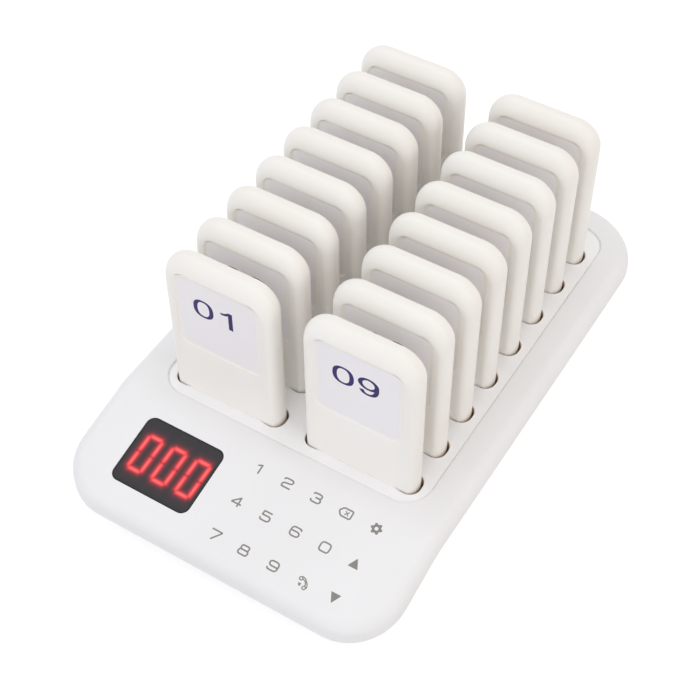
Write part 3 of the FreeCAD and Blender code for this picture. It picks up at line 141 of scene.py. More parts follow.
class Paint:
    """One material or other node tree under construction, with a single way to add a node."""

    def __init__(self, name: str) -> None:
        """Start an empty material.

        Args:
            name: The material's name.
        """
        self.material = bpy.data.materials.new(name)
        self.material.use_nodes = True
        self.tree = self.material.node_tree
        self.tree.nodes.clear()

    @classmethod
    def over(cls, tree: bpy.types.NodeTree) -> Paint:
        """Start afresh in a node tree that is already there.

        Args:
            tree: The tree, which is emptied.

        Returns:
            The paint that fills it.
        """
        paint = cls.__new__(cls)
        paint.tree = tree
        tree.nodes.clear()
        return paint

    def node(
        self,
        kind: str,
        settings: Mapping[str, object] | None = None,
        inputs: Mapping[str | int, object] | None = None,
    ) -> bpy.types.Node:
        """Add a node, set it up and feed it.

        Args:
            kind: The node's type.
            settings: Its own properties, or "stops" with the positions and colours of a ramp.
            inputs: What each socket takes: a Signal is linked, anything else is set.

        Returns:
            The node.
        """
        node = self.tree.nodes.new(kind)
        for name, value in (settings or {}).items():
            if name == "stops":
                self._set_stops(node, value)
            else:
                setattr(node, name, value)
        for name, value in (inputs or {}).items():
            if isinstance(value, Signal):
                self.tree.links.new(value.socket, node.inputs[name])
            else:
                node.inputs[name].default_value = value
        return node

    @staticmethod
    def _set_stops(node: bpy.types.Node, stops: Sequence[tuple[float, Colour]]) -> None:
        """Give a colour ramp its stops.

        Args:
            node: The ramp's node.
            stops: Each stop's position and colour, lowest first.
        """
        elements = node.color_ramp.elements
        while len(elements) < len(stops):
            elements.new(1.0)
        for element, (position, colour) in zip(elements, stops):
            element.position = position
            element.color = colour

    def signal(
        self,
        kind: str,
        settings: Mapping[str, object] | None = None,
        inputs: Mapping[str | int, object] | None = None,
        output: str | int = 0,
    ) -> Signal:
        """Add a node and take one of its outputs.

        Args:
            kind: The node's type.
            settings: Its own properties.
            inputs: What its sockets take.
            output: The name or number of the output.

        Returns:
            That output.
        """
        return Signal(self, self.node(kind, settings, inputs).outputs[output])

    def place(self) -> Signal:
        """Object coordinates, which are the model's own metres."""
        return self.signal("ShaderNodeTexCoord", output="Object")

    def noise(self, size: float, detail: float = 2.0, rough: float = 0.5) -> Signal:
        """Soft noise between zero and one.

        Args:
            size: The width of its lumps in metres.
            detail: How many finer layers it has.
            rough: How strong the finer layers are.

        Returns:
            The noise.
        """
        inputs = {"Vector": self.place(), "Scale": 1.0 / size, "Detail": detail, "Roughness": rough}
        return self.signal("ShaderNodeTexNoise", None, inputs)

    def mixed(self, share: Signal | float, first: Signal | Colour, second: Signal | Colour) -> Signal:
        """Blend two colours by a share of the second."""
        return self.signal("ShaderNodeMix", {"data_type": "RGBA"}, {0: share, 6: first, 7: second}, 2)

    def bump(self, height: Signal, depth: float) -> Signal:
        """Normals of a relief whose white stands a depth in metres above its black."""
        return self.signal("ShaderNodeBump", None, {"Distance": depth, "Height": height}, "Normal")

    def surface(self, **inputs: object) -> bpy.types.Material:
        """Close the material with a Principled surface.

        Args:
            inputs: Its sockets, with underscores for spaces in their names.

        Returns:
            The finished material.
        """
        named = {name.replace("_", " "): value for name, value in inputs.items()}
        shader = self.signal("ShaderNodeBsdfPrincipled", None, named)
        self.node("ShaderNodeOutputMaterial", None, {"Surface": shader})
        return self.material


# ---------------------------------------------------------------- finishes


@dataclass(frozen=True)
class TwoTone:
    """A surface that drifts between two tones, with a finer grain in its gloss and its relief.

    The drift and the grain are noises, each written as the width of its lumps, how many finer layers it has
    and how strong those are.
    """

    name: str
    colour: str
    second_colour: str
    roughness: float = 0.5
    drift: tuple[float, ...] = (38.0 * MM, 2.0)
    blend: tuple[float, float] | None = None
    share: float = 1.0
    grain: tuple[float, ...] = (0.45 * MM, 3.0, 0.6)
    relief: float = 0.004 * MM
    gloss_by_drift: float = 0.0
    gloss_by_grain: float = 0.2
    metallic: float = 0.0
    ior: float = 1.5

    def material(self) -> bpy.types.Material:
        """Build the material.

        Returns:
            A surface whose colour follows the drift, smoothly between the two values of the blend if it has
            them, and whose gloss follows the drift and the grain.
        """
        paint = Paint(self.name)
        drift, grain = paint.noise(*self.drift), paint.noise(*self.grain)
        share = (drift.smoothed(*self.blend) if self.blend else drift) * self.share
        colour = paint.mixed(share, tone(self.colour), tone(self.second_colour))
        gloss = (grain - 0.5) * self.gloss_by_grain + (drift - 0.5) * self.gloss_by_drift
        return paint.surface(
            Base_Color=self.tinted(paint, colour),
            Metallic=self.metallic,
            Roughness=self.roughness + gloss,
            Normal=paint.bump(grain, self.relief),
            IOR=self.ior,
        )

    def tinted(self, paint: Paint, colour: Signal) -> Signal:
        """The colour as it is everywhere."""
        return colour


@dataclass(frozen=True)
class MouldedPlastic(TwoTone):
    """Injection-moulded plastic with a fine spark texture and a slow drift of tone."""

    roughness: float = 0.42
    blend: tuple[float, float] | None = (0.3, 0.7)
    relief: float = 0.006 * MM
    gloss_by_drift: float = 0.08
    gloss_by_grain: float = 0.14
    ior: float = 1.46


@dataclass(frozen=True)
class WelledPlastic(MouldedPlastic):
    """Moulded plastic with a painted warm glow down in its wells, standing in for light that comes through
    its walls.
    """

    # painted glow: a warm colour standing in for light that comes through the walls of the wells
    painted_glow_colour: str = "f0d4b6"
    well_top: float = 31.14 * MM
    well_deep: float = 30.3 * MM

    def tinted(self, paint: Paint, colour: Signal) -> Signal:
        """The plastic's colour, with a painted warm glow between two heights of the wells.

        Args:
            paint: The material under construction.
            colour: The plastic's own colour.

        Returns:
            The colour with the painted glow in it.
        """
        height = paint.signal("ShaderNodeSeparateXYZ", None, {0: paint.place()}, "Z")
        # painted glow: blends in the warm colour from well_deep up to well_top
        return paint.mixed(height.smoothed(self.well_deep, self.well_top), tone(self.painted_glow_colour), colour)


@dataclass(frozen=True)
class SmokedWindow:
    """Dark glossy plastic over a lit display, which shines through where the mesh says so."""

    name: str = "window_finish"
    colour: str = "2a2b2e"
    cloud_colour: str = "2e2f33"
    rim_colour: str = "1e1f22"
    roughness: float = 0.16
    smear: tuple[float, ...] = (9.0 * MM, 3.0)
    gloss_by_smear: float = 0.06
    wave: tuple[float, ...] = (24.0 * MM, 1.0)
    relief: float = 0.02 * MM
    brightness: float = 1.0
    ior: float = 1.38

    def material(self) -> bpy.types.Material:
        """Build the material.

        Returns:
            A dark surface that is darkest where the mesh's "rim" values say so, and whose glow follows the
            mesh's "glow" values, from a dark red halo to a pale red core.
        """
        paint = Paint(self.name)
        glow = paint.signal("ShaderNodeAttribute", {"attribute_name": "glow"}, None, "Fac")
        rim = paint.signal("ShaderNodeAttribute", {"attribute_name": "rim"}, None, "Fac")
        stops = [
            (0.0, (0.0, 0.0, 0.0, 1.0)),
            (0.12, (0.045, 0.002, 0.004, 1.0)),
            (0.36, tone("8e1420")),
            (0.6, tone("e8202e")),
            (0.8, tone("f53a40")),
            (1.0, tone("f86a68")),
        ]
        light = paint.signal("ShaderNodeValToRGB", {"stops": stops}, {"Fac": glow}, "Color")
        smear = paint.noise(*self.smear)
        cloud = paint.mixed(smear, tone(self.colour), tone(self.cloud_colour))
        return paint.surface(
            Base_Color=paint.mixed(rim, cloud, tone(self.rim_colour)),
            Roughness=self.roughness + (smear - 0.5) * self.gloss_by_smear,
            Normal=paint.bump(paint.noise(*self.wave), self.relief),
            Emission_Color=light,
            Emission_Strength=self.brightness,
            IOR=self.ior,
        )


@dataclass(frozen=True)
class PrintedInk(TwoTone):
    """A thin layer of screen ink, whose density varies a little from place to place."""

    drift: tuple[float, ...] = (0.5 * MM, 3.0)
    blend: tuple[float, float] | None = (0.35, 0.75)
    share: float = 0.5
    grain: tuple[float, ...] = (0.5 * MM, 3.0)
    ior: float = 1.38


@dataclass(frozen=True)
class LabelFilm(TwoTone):
    """The pale satin film of a pager's number label, with faint fibres."""

    roughness: float = 0.48
    drift: tuple[float, ...] = (6.0 * MM, 4.0, 0.6)
    grain: tuple[float, ...] = (0.3 * MM, 2.0)
    relief: float = 0.003 * MM
    gloss_by_grain: float = 0.12


@dataclass(frozen=True)
class BrushedMetal(TwoTone):
    """Plated or machined metal, whose tone and gloss vary in small stains."""

    roughness: float = 0.34
    drift: tuple[float, ...] = (1.6 * MM, 4.0, 0.6)
    grain: tuple[float, ...] = (0.18 * MM, 2.0)
    metallic: float = 1.0


@dataclass(frozen=True)
class FootRubber(TwoTone):
    """Dark matt rubber with a paler bloom in patches."""

    roughness: float = 0.78
    drift: tuple[float, ...] = (3.0 * MM, 4.0, 0.65)
    blend: tuple[float, float] | None = (0.4, 0.8)
    grain: tuple[float, ...] = (0.25 * MM, 2.0)
    relief: float = 0.02 * MM
    gloss_by_drift: float = 0.2
    gloss_by_grain: float = 0.0


@dataclass(frozen=True)
class CircuitBoard:
    """Green solder resist over copper tracks, which run along the edges of irregular cells."""

    name: str
    resist_colour: str = "1f5a3a"
    track_colour: str = "2b7a4c"
    cell: float = 3.2 * MM
    track_edges: tuple[float, float] = (0.06, 0.12)
    relief: float = 0.035 * MM
    roughness: float = 0.32
    grain: tuple[float, ...] = (0.6 * MM, 2.0)
    gloss_by_grain: float = 0.12

    def material(self) -> bpy.types.Material:
        """Build the material.

        Returns:
            Solder resist in which tracks show as a lighter, slightly raised pattern.
        """
        paint = Paint(self.name)
        inputs = {"Vector": paint.place(), "Scale": 1.0 / self.cell}
        cells = paint.signal("ShaderNodeTexVoronoi", {"feature": "DISTANCE_TO_EDGE"}, inputs, "Distance")
        track = 1.0 - cells.smoothed(*self.track_edges)
        return paint.surface(
            Base_Color=paint.mixed(track, tone(self.resist_colour), tone(self.track_colour)),
            Roughness=self.roughness + (paint.noise(*self.grain) - 0.5) * self.gloss_by_grain,
            Normal=paint.bump(track, self.relief),
            IOR=1.5,
        )


@dataclass(frozen=True)
class ContactBoard:
    """A board under solder resist, with gold-plated contacts between two heights."""

    name: str
    gold_from: float
    gold_to: float
    gold: tuple[str, str] = ("d9b765", "c69d45")
    resist: tuple[str, str] = ("1f5a3a", "27683f")
    stain: tuple[float, ...] = (0.9 * MM, 3.0)
    relief: float = 0.006 * MM
    roughness: float = 0.36
    gloss_by_plating: float = 0.12
    gloss_by_stain: float = 0.12

    def material(self) -> bpy.types.Material:
        """Build the material.

        Returns:
            Green resist on the board and a stained gold plating on everything between the two heights.
        """
        paint = Paint(self.name)
        height = paint.signal("ShaderNodeSeparateXYZ", None, {0: paint.place()}, "Z")
        plated = (height > self.gold_from) * (1.0 - (height > self.gold_to))
        stain = paint.noise(*self.stain)
        gold, resist = (paint.mixed(stain, tone(a), tone(b)) for a, b in (self.gold, self.resist))
        gloss = (stain - 0.5) * self.gloss_by_stain - plated * self.gloss_by_plating
        return paint.surface(
            Base_Color=paint.mixed(plated, resist, gold),
            Metallic=plated,
            Roughness=self.roughness + gloss,
            Normal=paint.bump(stain, self.relief),
            IOR=1.5,
        )


FINE, COARSE = (0.4 * MM, 3.0, 0.6), (0.6 * MM, 3.0, 0.6)


class Finish(Enum):
    """The finishes of the pieces, each with the record's material slot that it stands for."""

    COVER = ("cover_plastic", MouldedPlastic("cover_finish", "f4f3f4", "f2f1f2"))
    TRAY = ("tray_plastic", WelledPlastic("tray_finish", "fdfcfd", "fbfafb"))
    TRAY_LIP = ("tray_plastic", MouldedPlastic("lip_finish", "fdfcfd", "fbfafb"))
    PAN = (
        "pan_plastic",
        MouldedPlastic("pan_finish", "f0eff0", "ecebec", 0.5, grain=COARSE, relief=0.012 * MM),
    )
    PAGER = ("pager_plastic", MouldedPlastic("pager_finish", "fbf8f3", "faf6f0", 0.36))
    WINDOW = ("smoked_window", SmokedWindow())
    DARK = ("dark_plastic", MouldedPlastic("dark_finish", "26272a", "2c2d30", 0.38, grain=FINE))
    ROCKER = ("rocker_plastic", MouldedPlastic("rocker_finish", "1c1d1f", "232426", 0.3, grain=FINE))
    BOARD = ("circuit_board", CircuitBoard("board_finish"))
    CONTACTS = ("circuit_board", ContactBoard("contact_finish", 11.05 * MM, 20.0 * MM))
    PAGER_INSIDE = ("circuit_board", ContactBoard("pager_inside_finish", 0.0, 20.6 * MM))
    SCREW = ("screw_steel", BrushedMetal("screw_finish", "b9bcc0", "a2a5aa"))
    FOOT = ("foot_rubber", FootRubber("rubber_finish", "26262a", "3a3a3d"))
    LABEL = ("pager_plastic", LabelFilm("label_finish", "f6f2f5", "f8f5f7"))
    NUMBER_INK = ("dark_plastic", PrintedInk("number_finish", "2b1f64", "33286c"))
    KEY_INK = ("dark_plastic", PrintedInk("key_finish", "8b8883", "93908b"))
    MARK_INK = ("cover_plastic", PrintedInk("mark_finish", "e8e8e6", "d8d8d6"))

    @property
    def slot(self) -> str:
        """The record's material slot."""
        return self.value[0]

    def material(self) -> bpy.types.Material:
        """The one material of this finish, built when it is first asked for."""
        name = self.value[1].name
        return bpy.data.materials.get(name) or self.value[1].material()


# ---------------------------------------------------------------- shapes


@dataclass
class Shape:
    """Points and faces worked out before they go into a mesh."""

    points: np.ndarray
    faces: list[list[int]]

    @staticmethod
    def joined(shapes: Sequence[Shape]) -> Shape:
        """Put several shapes into one.

        Args:
            shapes: The shapes, in order.

        Returns:
            One shape with all their points and faces.
        """
        starts = np.cumsum([0] + [len(shape.points) for shape in shapes]).tolist()
        faces = []
        for shape, start in zip(shapes, starts):
            faces += [[corner + start for corner in face] for face in shape.faces]
        return Shape(np.concatenate([shape.points for shape in shapes]), faces)

    @staticmethod
    def overprinted(prints: Sequence[Shape], step: float) -> Shape:
        """Join flat prints, each a step above the one before, so that no two tops share a plane.

        Args:
            prints: The prints, lowest first.
            step: How far each is raised.

        Returns:
            One shape with all of them.
        """
        for layer, flat in enumerate(prints):
            flat.points[:, 2] += layer * step
        return Shape.joined(prints)

    def carried(self, base: np.ndarray, along: np.ndarray, up: np.ndarray, out: np.ndarray) -> Shape:
        """Lay the shape on a plane in the model.

        Args:
            base: Where the shape's origin goes.
            along: The direction of its first coordinate.
            up: The direction of its second coordinate.
            out: The direction of its third coordinate.

        Returns:
            The shape with each point p at base + p0 along + p1 up + p2 out.
        """
        return Shape(base + self.points @ np.stack([along, up, out]), self.faces)


def smooth_step(share: np.ndarray) -> np.ndarray:
    """Ease from zero to one: 3 s^2 - 2 s^3, with s held between them."""
    held = np.clip(share, 0.0, 1.0)
    return held**2 * (3 - 2 * held)


def at_height(flat: np.ndarray, height: float) -> np.ndarray:
    """Points with one height as their last coordinate."""
    return np.column_stack([flat, np.full(len(flat), height)])


def loft(rings: np.ndarray) -> Shape:
    """Join closed rings with equal numbers of points, and close both ends with flat faces.

    Point j of ring i is number i * n + j, and each face joins points j and j + 1 of two neighbouring rings,
    counted round the ring.

    Args:
        rings: Rings as an array of ring, point and coordinate.

    Returns:
        The closed shape.
    """
    count, around = rings.shape[:2]
    ring, point = np.meshgrid(np.arange(count - 1), np.arange(around), indexing="ij")
    after = (point + 1) % around
    corners = [ring * around + point, ring * around + after, (ring + 1) * around + after]
    quads = np.stack(corners + [(ring + 1) * around + point], axis=-1).reshape(-1, 4)
    first = list(range(around))[::-1]
    last = list(range((count - 1) * around, count * around))
    return Shape(rings.reshape(-1, 3), quads.tolist() + [first, last])


def closed_band(rings: np.ndarray) -> Shape:
    """Join closed rings whose last one repeats the first, so that no end is left open.

    Args:
        rings: Rings as an array of ring, point and coordinate.

    Returns:
        The closed band, with the last ring's points shared with the first.
    """
    shape = loft(rings)
    last = (len(rings) - 1) * rings.shape[1]
    return Shape(shape.points[:last], [[corner % last for corner in face] for face in shape.faces[:-2]])


def rounded_outline(
    left: float, right: float, low: float, high: float, radii: Sequence[float], steps: int
) -> np.ndarray:
    """Outline of a rectangle whose corners are quarter circles, anticlockwise.

    A corner's points are its centre plus radius times (cos a, sin a), where a turns through a right angle.

    Args:
        left: Least first coordinate.
        right: Greatest first coordinate.
        low: Least second coordinate.
        high: Greatest second coordinate.
        radii: Radii of the corners, from the low right one round to the low left one.
        steps: Points along each corner.

    Returns:
        The points, as an array of point and coordinate.
    """
    size = np.maximum(np.asarray(radii, float), 1e-6)
    centres = np.stack(
        [
            np.array([right, right, left, left]) + size * np.array([-1, -1, 1, 1]),
            np.array([low, high, high, low]) + size * np.array([1, -1, -1, 1]),
        ],
        axis=-1,
    )
    turn = np.linspace(0.0, np.pi / 2, steps)
    angles = np.array([-np.pi / 2, 0.0, np.pi / 2, np.pi])[:, None] + turn
    ray = np.stack([np.cos(angles), np.sin(angles)], axis=-1)
    return (centres[:, None] + size[:, None, None] * ray).reshape(-1, 2)


def inset_rings(outline: Sequence[float], radius: float, profile: np.ndarray, steps: int) -> np.ndarray:
    """Carry a profile round a rounded rectangle.

    Each profile point (inset, height) gives a ring: the rectangle drawn in by the inset, with its corner
    radius less the inset, at that height along the third coordinate. A third value in a profile point is
    how far the high side is drawn in instead.

    Args:
        outline: Left, right, low and high of the rectangle.
        radius: Its corner radius.
        profile: The profile's points.
        steps: Points along each corner.

    Returns:
        The rings, as an array of ring, point and coordinate.
    """
    left, right, low, high = outline
    rings = []
    for inset, height, *drop in profile:
        top = high - (drop[0] if drop else inset)
        flat = rounded_outline(left + inset, right - inset, low + inset, top, [radius - inset] * 4, steps)
        rings.append(at_height(flat, height))
    return np.stack(rings)


def plate(
    outline: Sequence[float], radius: float, low: float, high: float, edge: float, border: float = 0.0
) -> Shape:
    """A flat plate with rounded corners and a softened upper edge.

    Args:
        outline: Left, right, low and high of its rectangle.
        radius: Its corner radius.
        low: Height of its underside.
        high: Height of its top.
        edge: Radius of the upper edge, a quarter circle.
        border: How far in from the outline the last ring of points on its top lies, if past the edge.

    Returns:
        The closed plate.
    """
    turn = np.linspace(0.0, np.pi / 2, 4)
    rounded = np.column_stack([edge * (1 - np.cos(turn)), high - edge + edge * np.sin(turn)])
    past_edge = edge * 1.6
    flat = np.linspace(past_edge, max(border, past_edge), 5 if border > past_edge else 1)
    profile = np.vstack([[0.0, low], rounded, at_height(flat, high)])
    return loft(inset_rings(outline, radius, profile, steps=8))


def bent_path(corners: Sequence[tuple[float, float]], radius: float) -> np.ndarray:
    """A path through straight runs whose inner corners are arcs of five points.

    An arc is the quadratic curve from radius before the corner to radius after it, with the corner as its
    middle control point: (1 - t)^2 a + 2 t (1 - t) c + t^2 b.

    Args:
        corners: The path's corners.
        radius: How far from a corner its arc starts.

    Returns:
        The path's points.
    """
    nodes = np.asarray(corners, float)
    t = np.linspace(0.0, 1.0, 5)[:, None]
    runs = [nodes[:1]]
    for before, corner, after in zip(nodes[:-2], nodes[1:-1], nodes[2:]):
        back, ahead = before - corner, after - corner
        start = corner + back * min(0.5, radius / np.linalg.norm(back))
        end = corner + ahead * min(0.5, radius / np.linalg.norm(ahead))
        runs.append((1 - t) ** 2 * start + 2 * t * (1 - t) * corner + t**2 * end)
    return np.concatenate(runs + [nodes[-1:]])


def flowing_path(knots: Sequence[tuple[float, float]], steps: int = 8) -> np.ndarray:
    """A smooth path through all its knots.

    Between knots b and c, with neighbours a and d, it is the Catmull-Rom cubic
    ((2b) + (c - a)t + (2a - 5b + 4c - d)t^2 + (3b - a - 3c + d)t^3) / 2.

    Args:
        knots: The points that it passes.
        steps: Points between two knots.

    Returns:
        The path's points.
    """
    inner = np.asarray(knots, float)
    held = np.vstack([2 * inner[0] - inner[1], inner, 2 * inner[-1] - inner[-2]])
    a, b, c, d = held[:-3, None], held[1:-2, None], held[2:-1, None], held[3:, None]
    t = np.linspace(0.0, 1.0, steps, endpoint=False)[None, :, None]
    cubic = (2 * b + (c - a) * t + (2 * a - 5 * b + 4 * c - d) * t**2 + (3 * b - a - 3 * c + d) * t**3) / 2
    return np.vstack([cubic.reshape(-1, 2), inner[-1:]])


def oval_path(
    centre: tuple[float, float], reach: tuple[float, float], start: float = 0.0, end: float = 360.0
) -> np.ndarray:
    """An oval or a part of one, centre plus reach times (cos a, sin a).

    Args:
        centre: The oval's centre.
        reach: Its two half sizes.
        start: First angle in degrees.
        end: Last angle in degrees.

    Returns:
        The path's points, a point every nine degrees or so.
    """
    angles = np.radians(np.linspace(start, end, max(6, int(abs(end - start) / 9))))
    return np.asarray(centre) + np.asarray(reach) * np.column_stack([np.cos(angles), np.sin(angles)])


@dataclass(frozen=True)
class Pen:
    """An oval pen that draws a flat stroke of ink."""

    across: float
    upright: float

    def stroke(self, path: np.ndarray) -> Shape:
        """Draw along a path.

        With the unit normal (n0, n1) the edge lies (w^2 n0, h^2 n1) / sqrt(w^2 n0^2 + h^2 n1^2) to each
        side, where w and h are half the pen's size, so uprights come out as wide as the pen is across.

        Args:
            path: The middle line's points, closed when its ends meet.

        Returns:
            A closed strip as thick as the ink, its top at height zero.
        """
        closed = bool(np.linalg.norm(path[0] - path[-1]) < 1e-9)
        if closed:
            path = path[:-1]
            ahead, behind = np.roll(path, -1, axis=0), np.roll(path, 1, axis=0)
            tangent = ahead - behind
        else:
            tangent = np.gradient(path, axis=0)
        tangent /= np.linalg.norm(tangent, axis=1, keepdims=True)
        normal = np.column_stack([-tangent[:, 1], tangent[:, 0]])
        half = np.array([self.across / 2, self.upright / 2])
        offset = half**2 * normal / np.linalg.norm(half * normal, axis=1, keepdims=True)
        left, right = path + offset, path - offset
        corners = [(left, 0.0), (right, 0.0), (right, -INK), (left, -INK)]
        section = np.stack([at_height(side, height) for side, height in corners], axis=1)
        if not closed:
            return loft(section)
        return closed_band(np.concatenate([section, section[:1]]))


def prism(outline: np.ndarray, low: float, high: float) -> Shape:
    """The solid inside an outline between two heights."""
    return loft(np.stack([at_height(outline, low), at_height(outline, high)]))


def ring_patch(outer: np.ndarray, inner: np.ndarray) -> Shape:
    """A flat ring of ink between two outlines with equal numbers of points, its top at height zero."""
    layers = [(outer, -INK), (outer, 0.0), (inner, 0.0), (inner, -INK), (outer, -INK)]
    return closed_band(np.stack([at_height(line, height) for line, height in layers]))


def merged_mesh(name: str, shape: Shape) -> bpy.types.Mesh:
    """Put a shape into a mesh, with its doubles merged and its faces turned outwards.

    Args:
        name: The mesh's name.
        shape: Its points and faces.

    Returns:
        The mesh.
    """
    mesh = bpy.data.meshes.new(name)
    mesh.from_pydata(shape.points.tolist(), [], shape.faces)
    mesh.validate()
    work = bmesh.new()
    work.from_mesh(mesh)
    bmesh.ops.remove_doubles(work, verts=work.verts, dist=1e-7)
    bmesh.ops.recalc_face_normals(work, faces=work.faces)
    work.to_mesh(mesh)
    work.free()
    return mesh


def cut_away(shape: Shape, cutter: Shape) -> Shape:
    """Take one closed shape away from another.

    Args:
        shape: The shape that is cut.
        cutter: The shape that is taken away.

    Returns:
        What is left of the first shape.
    """
    parts = {"whole": shape, "tool": cutter}
    whole, tool = (bpy.data.objects.new(name, merged_mesh(name, part)) for name, part in parts.items())
    for thing in (whole, tool):
        bpy.context.collection.objects.link(thing)
    cut = whole.modifiers.new("cut", "BOOLEAN")
    cut.operation = "DIFFERENCE"
    cut.solver = "EXACT"
    cut.object = tool
    left = bpy.data.meshes.new_from_object(whole.evaluated_get(bpy.context.evaluated_depsgraph_get()))
    points = np.empty(len(left.vertices) * 3)
    left.vertices.foreach_get("co", points)
    rest = Shape(points.reshape(-1, 3), [list(face.vertices) for face in left.polygons])
    for mesh in (whole.data, tool.data, left):
        bpy.data.meshes.remove(mesh)
    return rest


def piece(
    name: str,
    shape: Shape,
    finish: Finish,
    body: str,
    stands_for: Sequence[str] = (),
) -> bpy.types.Object:
    """Make an object of a shape, dress it and let it ride on a body.

    Edges that bend by more than the crease angle stay crisp.

    Args:
        name: The object's name.
        shape: Its points and faces, in model metres.
        finish: Its finish.
        body: The body that carries it.
        stands_for: CAD nodes that it takes the place of.

    Returns:
        The object.
    """
    mesh = merged_mesh(name, shape)
    mesh.shade_smooth()
    mesh.set_sharp_from_angle(angle=np.radians(CREASE))
    return mount(name, mesh, finish, body, stands_for)


def mount(
    name: str, mesh: bpy.types.Mesh, finish: Finish, body: str, stands_for: Sequence[str] = ()
) -> bpy.types.Object:
    """Put a mesh into the scene, dressed and riding on a body.

    Args:
        name: The object's name.
        mesh: Its mesh, with its place in it.
        finish: Its finish.
        body: The body that carries it.
        stands_for: CAD nodes that it takes the place of.

    Returns:
        The object.
    """
    mesh.materials.append(finish.material())
    thing = bpy.data.objects.new(name, mesh)
    bpy.context.collection.objects.link(thing)
    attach(thing, body)
    if stands_for:
        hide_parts(*stands_for)
    log.info("%s: %d faces on %s", name, len(mesh.polygons), body)
    return thing


# ---------------------------------------------------------------- the base


@dataclass
class SoftShading:
    """Welds a CAD node's loose triangles for display and shades its curved faces smoothly."""

    crisp: float = 32.0
    reach: float = 0.002 * MM

    def __post_init__(self) -> None:
        """Build the node group, in which edges that bend by more than the crisp degrees stay sharp."""
        self.tree = bpy.data.node_groups.new("soft_shading", "GeometryNodeTree")
        for way in ("INPUT", "OUTPUT"):
            self.tree.interface.new_socket("Geometry", in_out=way, socket_type="NodeSocketGeometry")
        paint = Paint.over(self.tree)
        loose = paint.signal("NodeGroupInput")
        welded = paint.signal("GeometryNodeMergeByDistance", None, {0: loose, "Distance": self.reach})
        smooth = paint.signal("GeometryNodeSetShadeSmooth", None, {0: welded})
        bend = paint.signal("GeometryNodeInputMeshEdgeAngle")
        comparison = {"data_type": "FLOAT", "operation": "GREATER_THAN"}
        sharp = paint.signal("FunctionNodeCompare", comparison, {0: bend, 1: float(np.radians(self.crisp))})
        creased = {0: smooth, 1: sharp, 2: False}
        shaded = paint.signal("GeometryNodeSetShadeSmooth", {"domain": "EDGE"}, creased)
        paint.node("NodeGroupOutput", None, {0: shaded})

    def apply_to(self, node: bpy.types.Object) -> None:
        """Add the welding and a weighting of the normals by face size.

        Args:
            node: The CAD node.
        """
        weld = node.modifiers.new("soft_shading", "NODES")
        weld.node_group = self.tree
        weights = node.modifiers.new("large_faces_flat", "WEIGHTED_NORMAL")
        weights.mode = "FACE_AREA"
        weights.weight = 100
        weights.keep_sharp = True


@dataclass
class Base:
    """The charging base: its covers, tray, boards, screws, feet and rear ports."""

    finishes: dict[str, Finish] = field(
        default_factory=lambda: {
            "top_cover": Finish.COVER,
            "bottom_cover": Finish.PAN,
            "slot_tray": Finish.TRAY,
            "display_module": Finish.DARK,
            "control_board": Finish.BOARD,
            "charging_boards": Finish.CONTACTS,
            "case_screws": Finish.SCREW,
            "rubber_feet": Finish.FOOT,
            "power_socket": Finish.DARK,
            "switch_housing": Finish.DARK,
            "switch_rocker": Finish.ROCKER,
        }
    )

    def dress(self, nodes: Mapping[str, bpy.types.Object], shading: SoftShading) -> None:
        """Give the CAD nodes of the base their finishes.

        Args:
            nodes: The frame's nodes by name.
            shading: What smooths their curved faces.
        """
        for name, finish in self.finishes.items():
            dress_node(nodes[name], finish, shading)


@dataclass
class TraySeam:
    """The cover's bead under the gap round the slot tray, which keeps dust out of the case."""

    outline: tuple[float, float, float, float] = (-66.6 * MM, 66.6 * MM, -71.5 * MM, 115.2 * MM)
    radius: float = 13.0 * MM
    gap: float = 0.35 * MM
    play: float = 0.02 * MM
    top: float = 31.0 * MM
    bottom: float = 29.9 * MM
    steps: int = 16

    def build(self) -> None:
        """Build the bead as a closed ring that follows the tray's outline."""
        low, high = self.play, self.gap - self.play
        profile = np.array([[low, self.bottom], [low, self.top], [high, self.top], [high, self.bottom]])
        rings = inset_rings(self.outline, self.radius, np.vstack([profile, profile[:1]]), self.steps)
        piece("tray_seam_bead", closed_band(rings), Finish.COVER, "base")


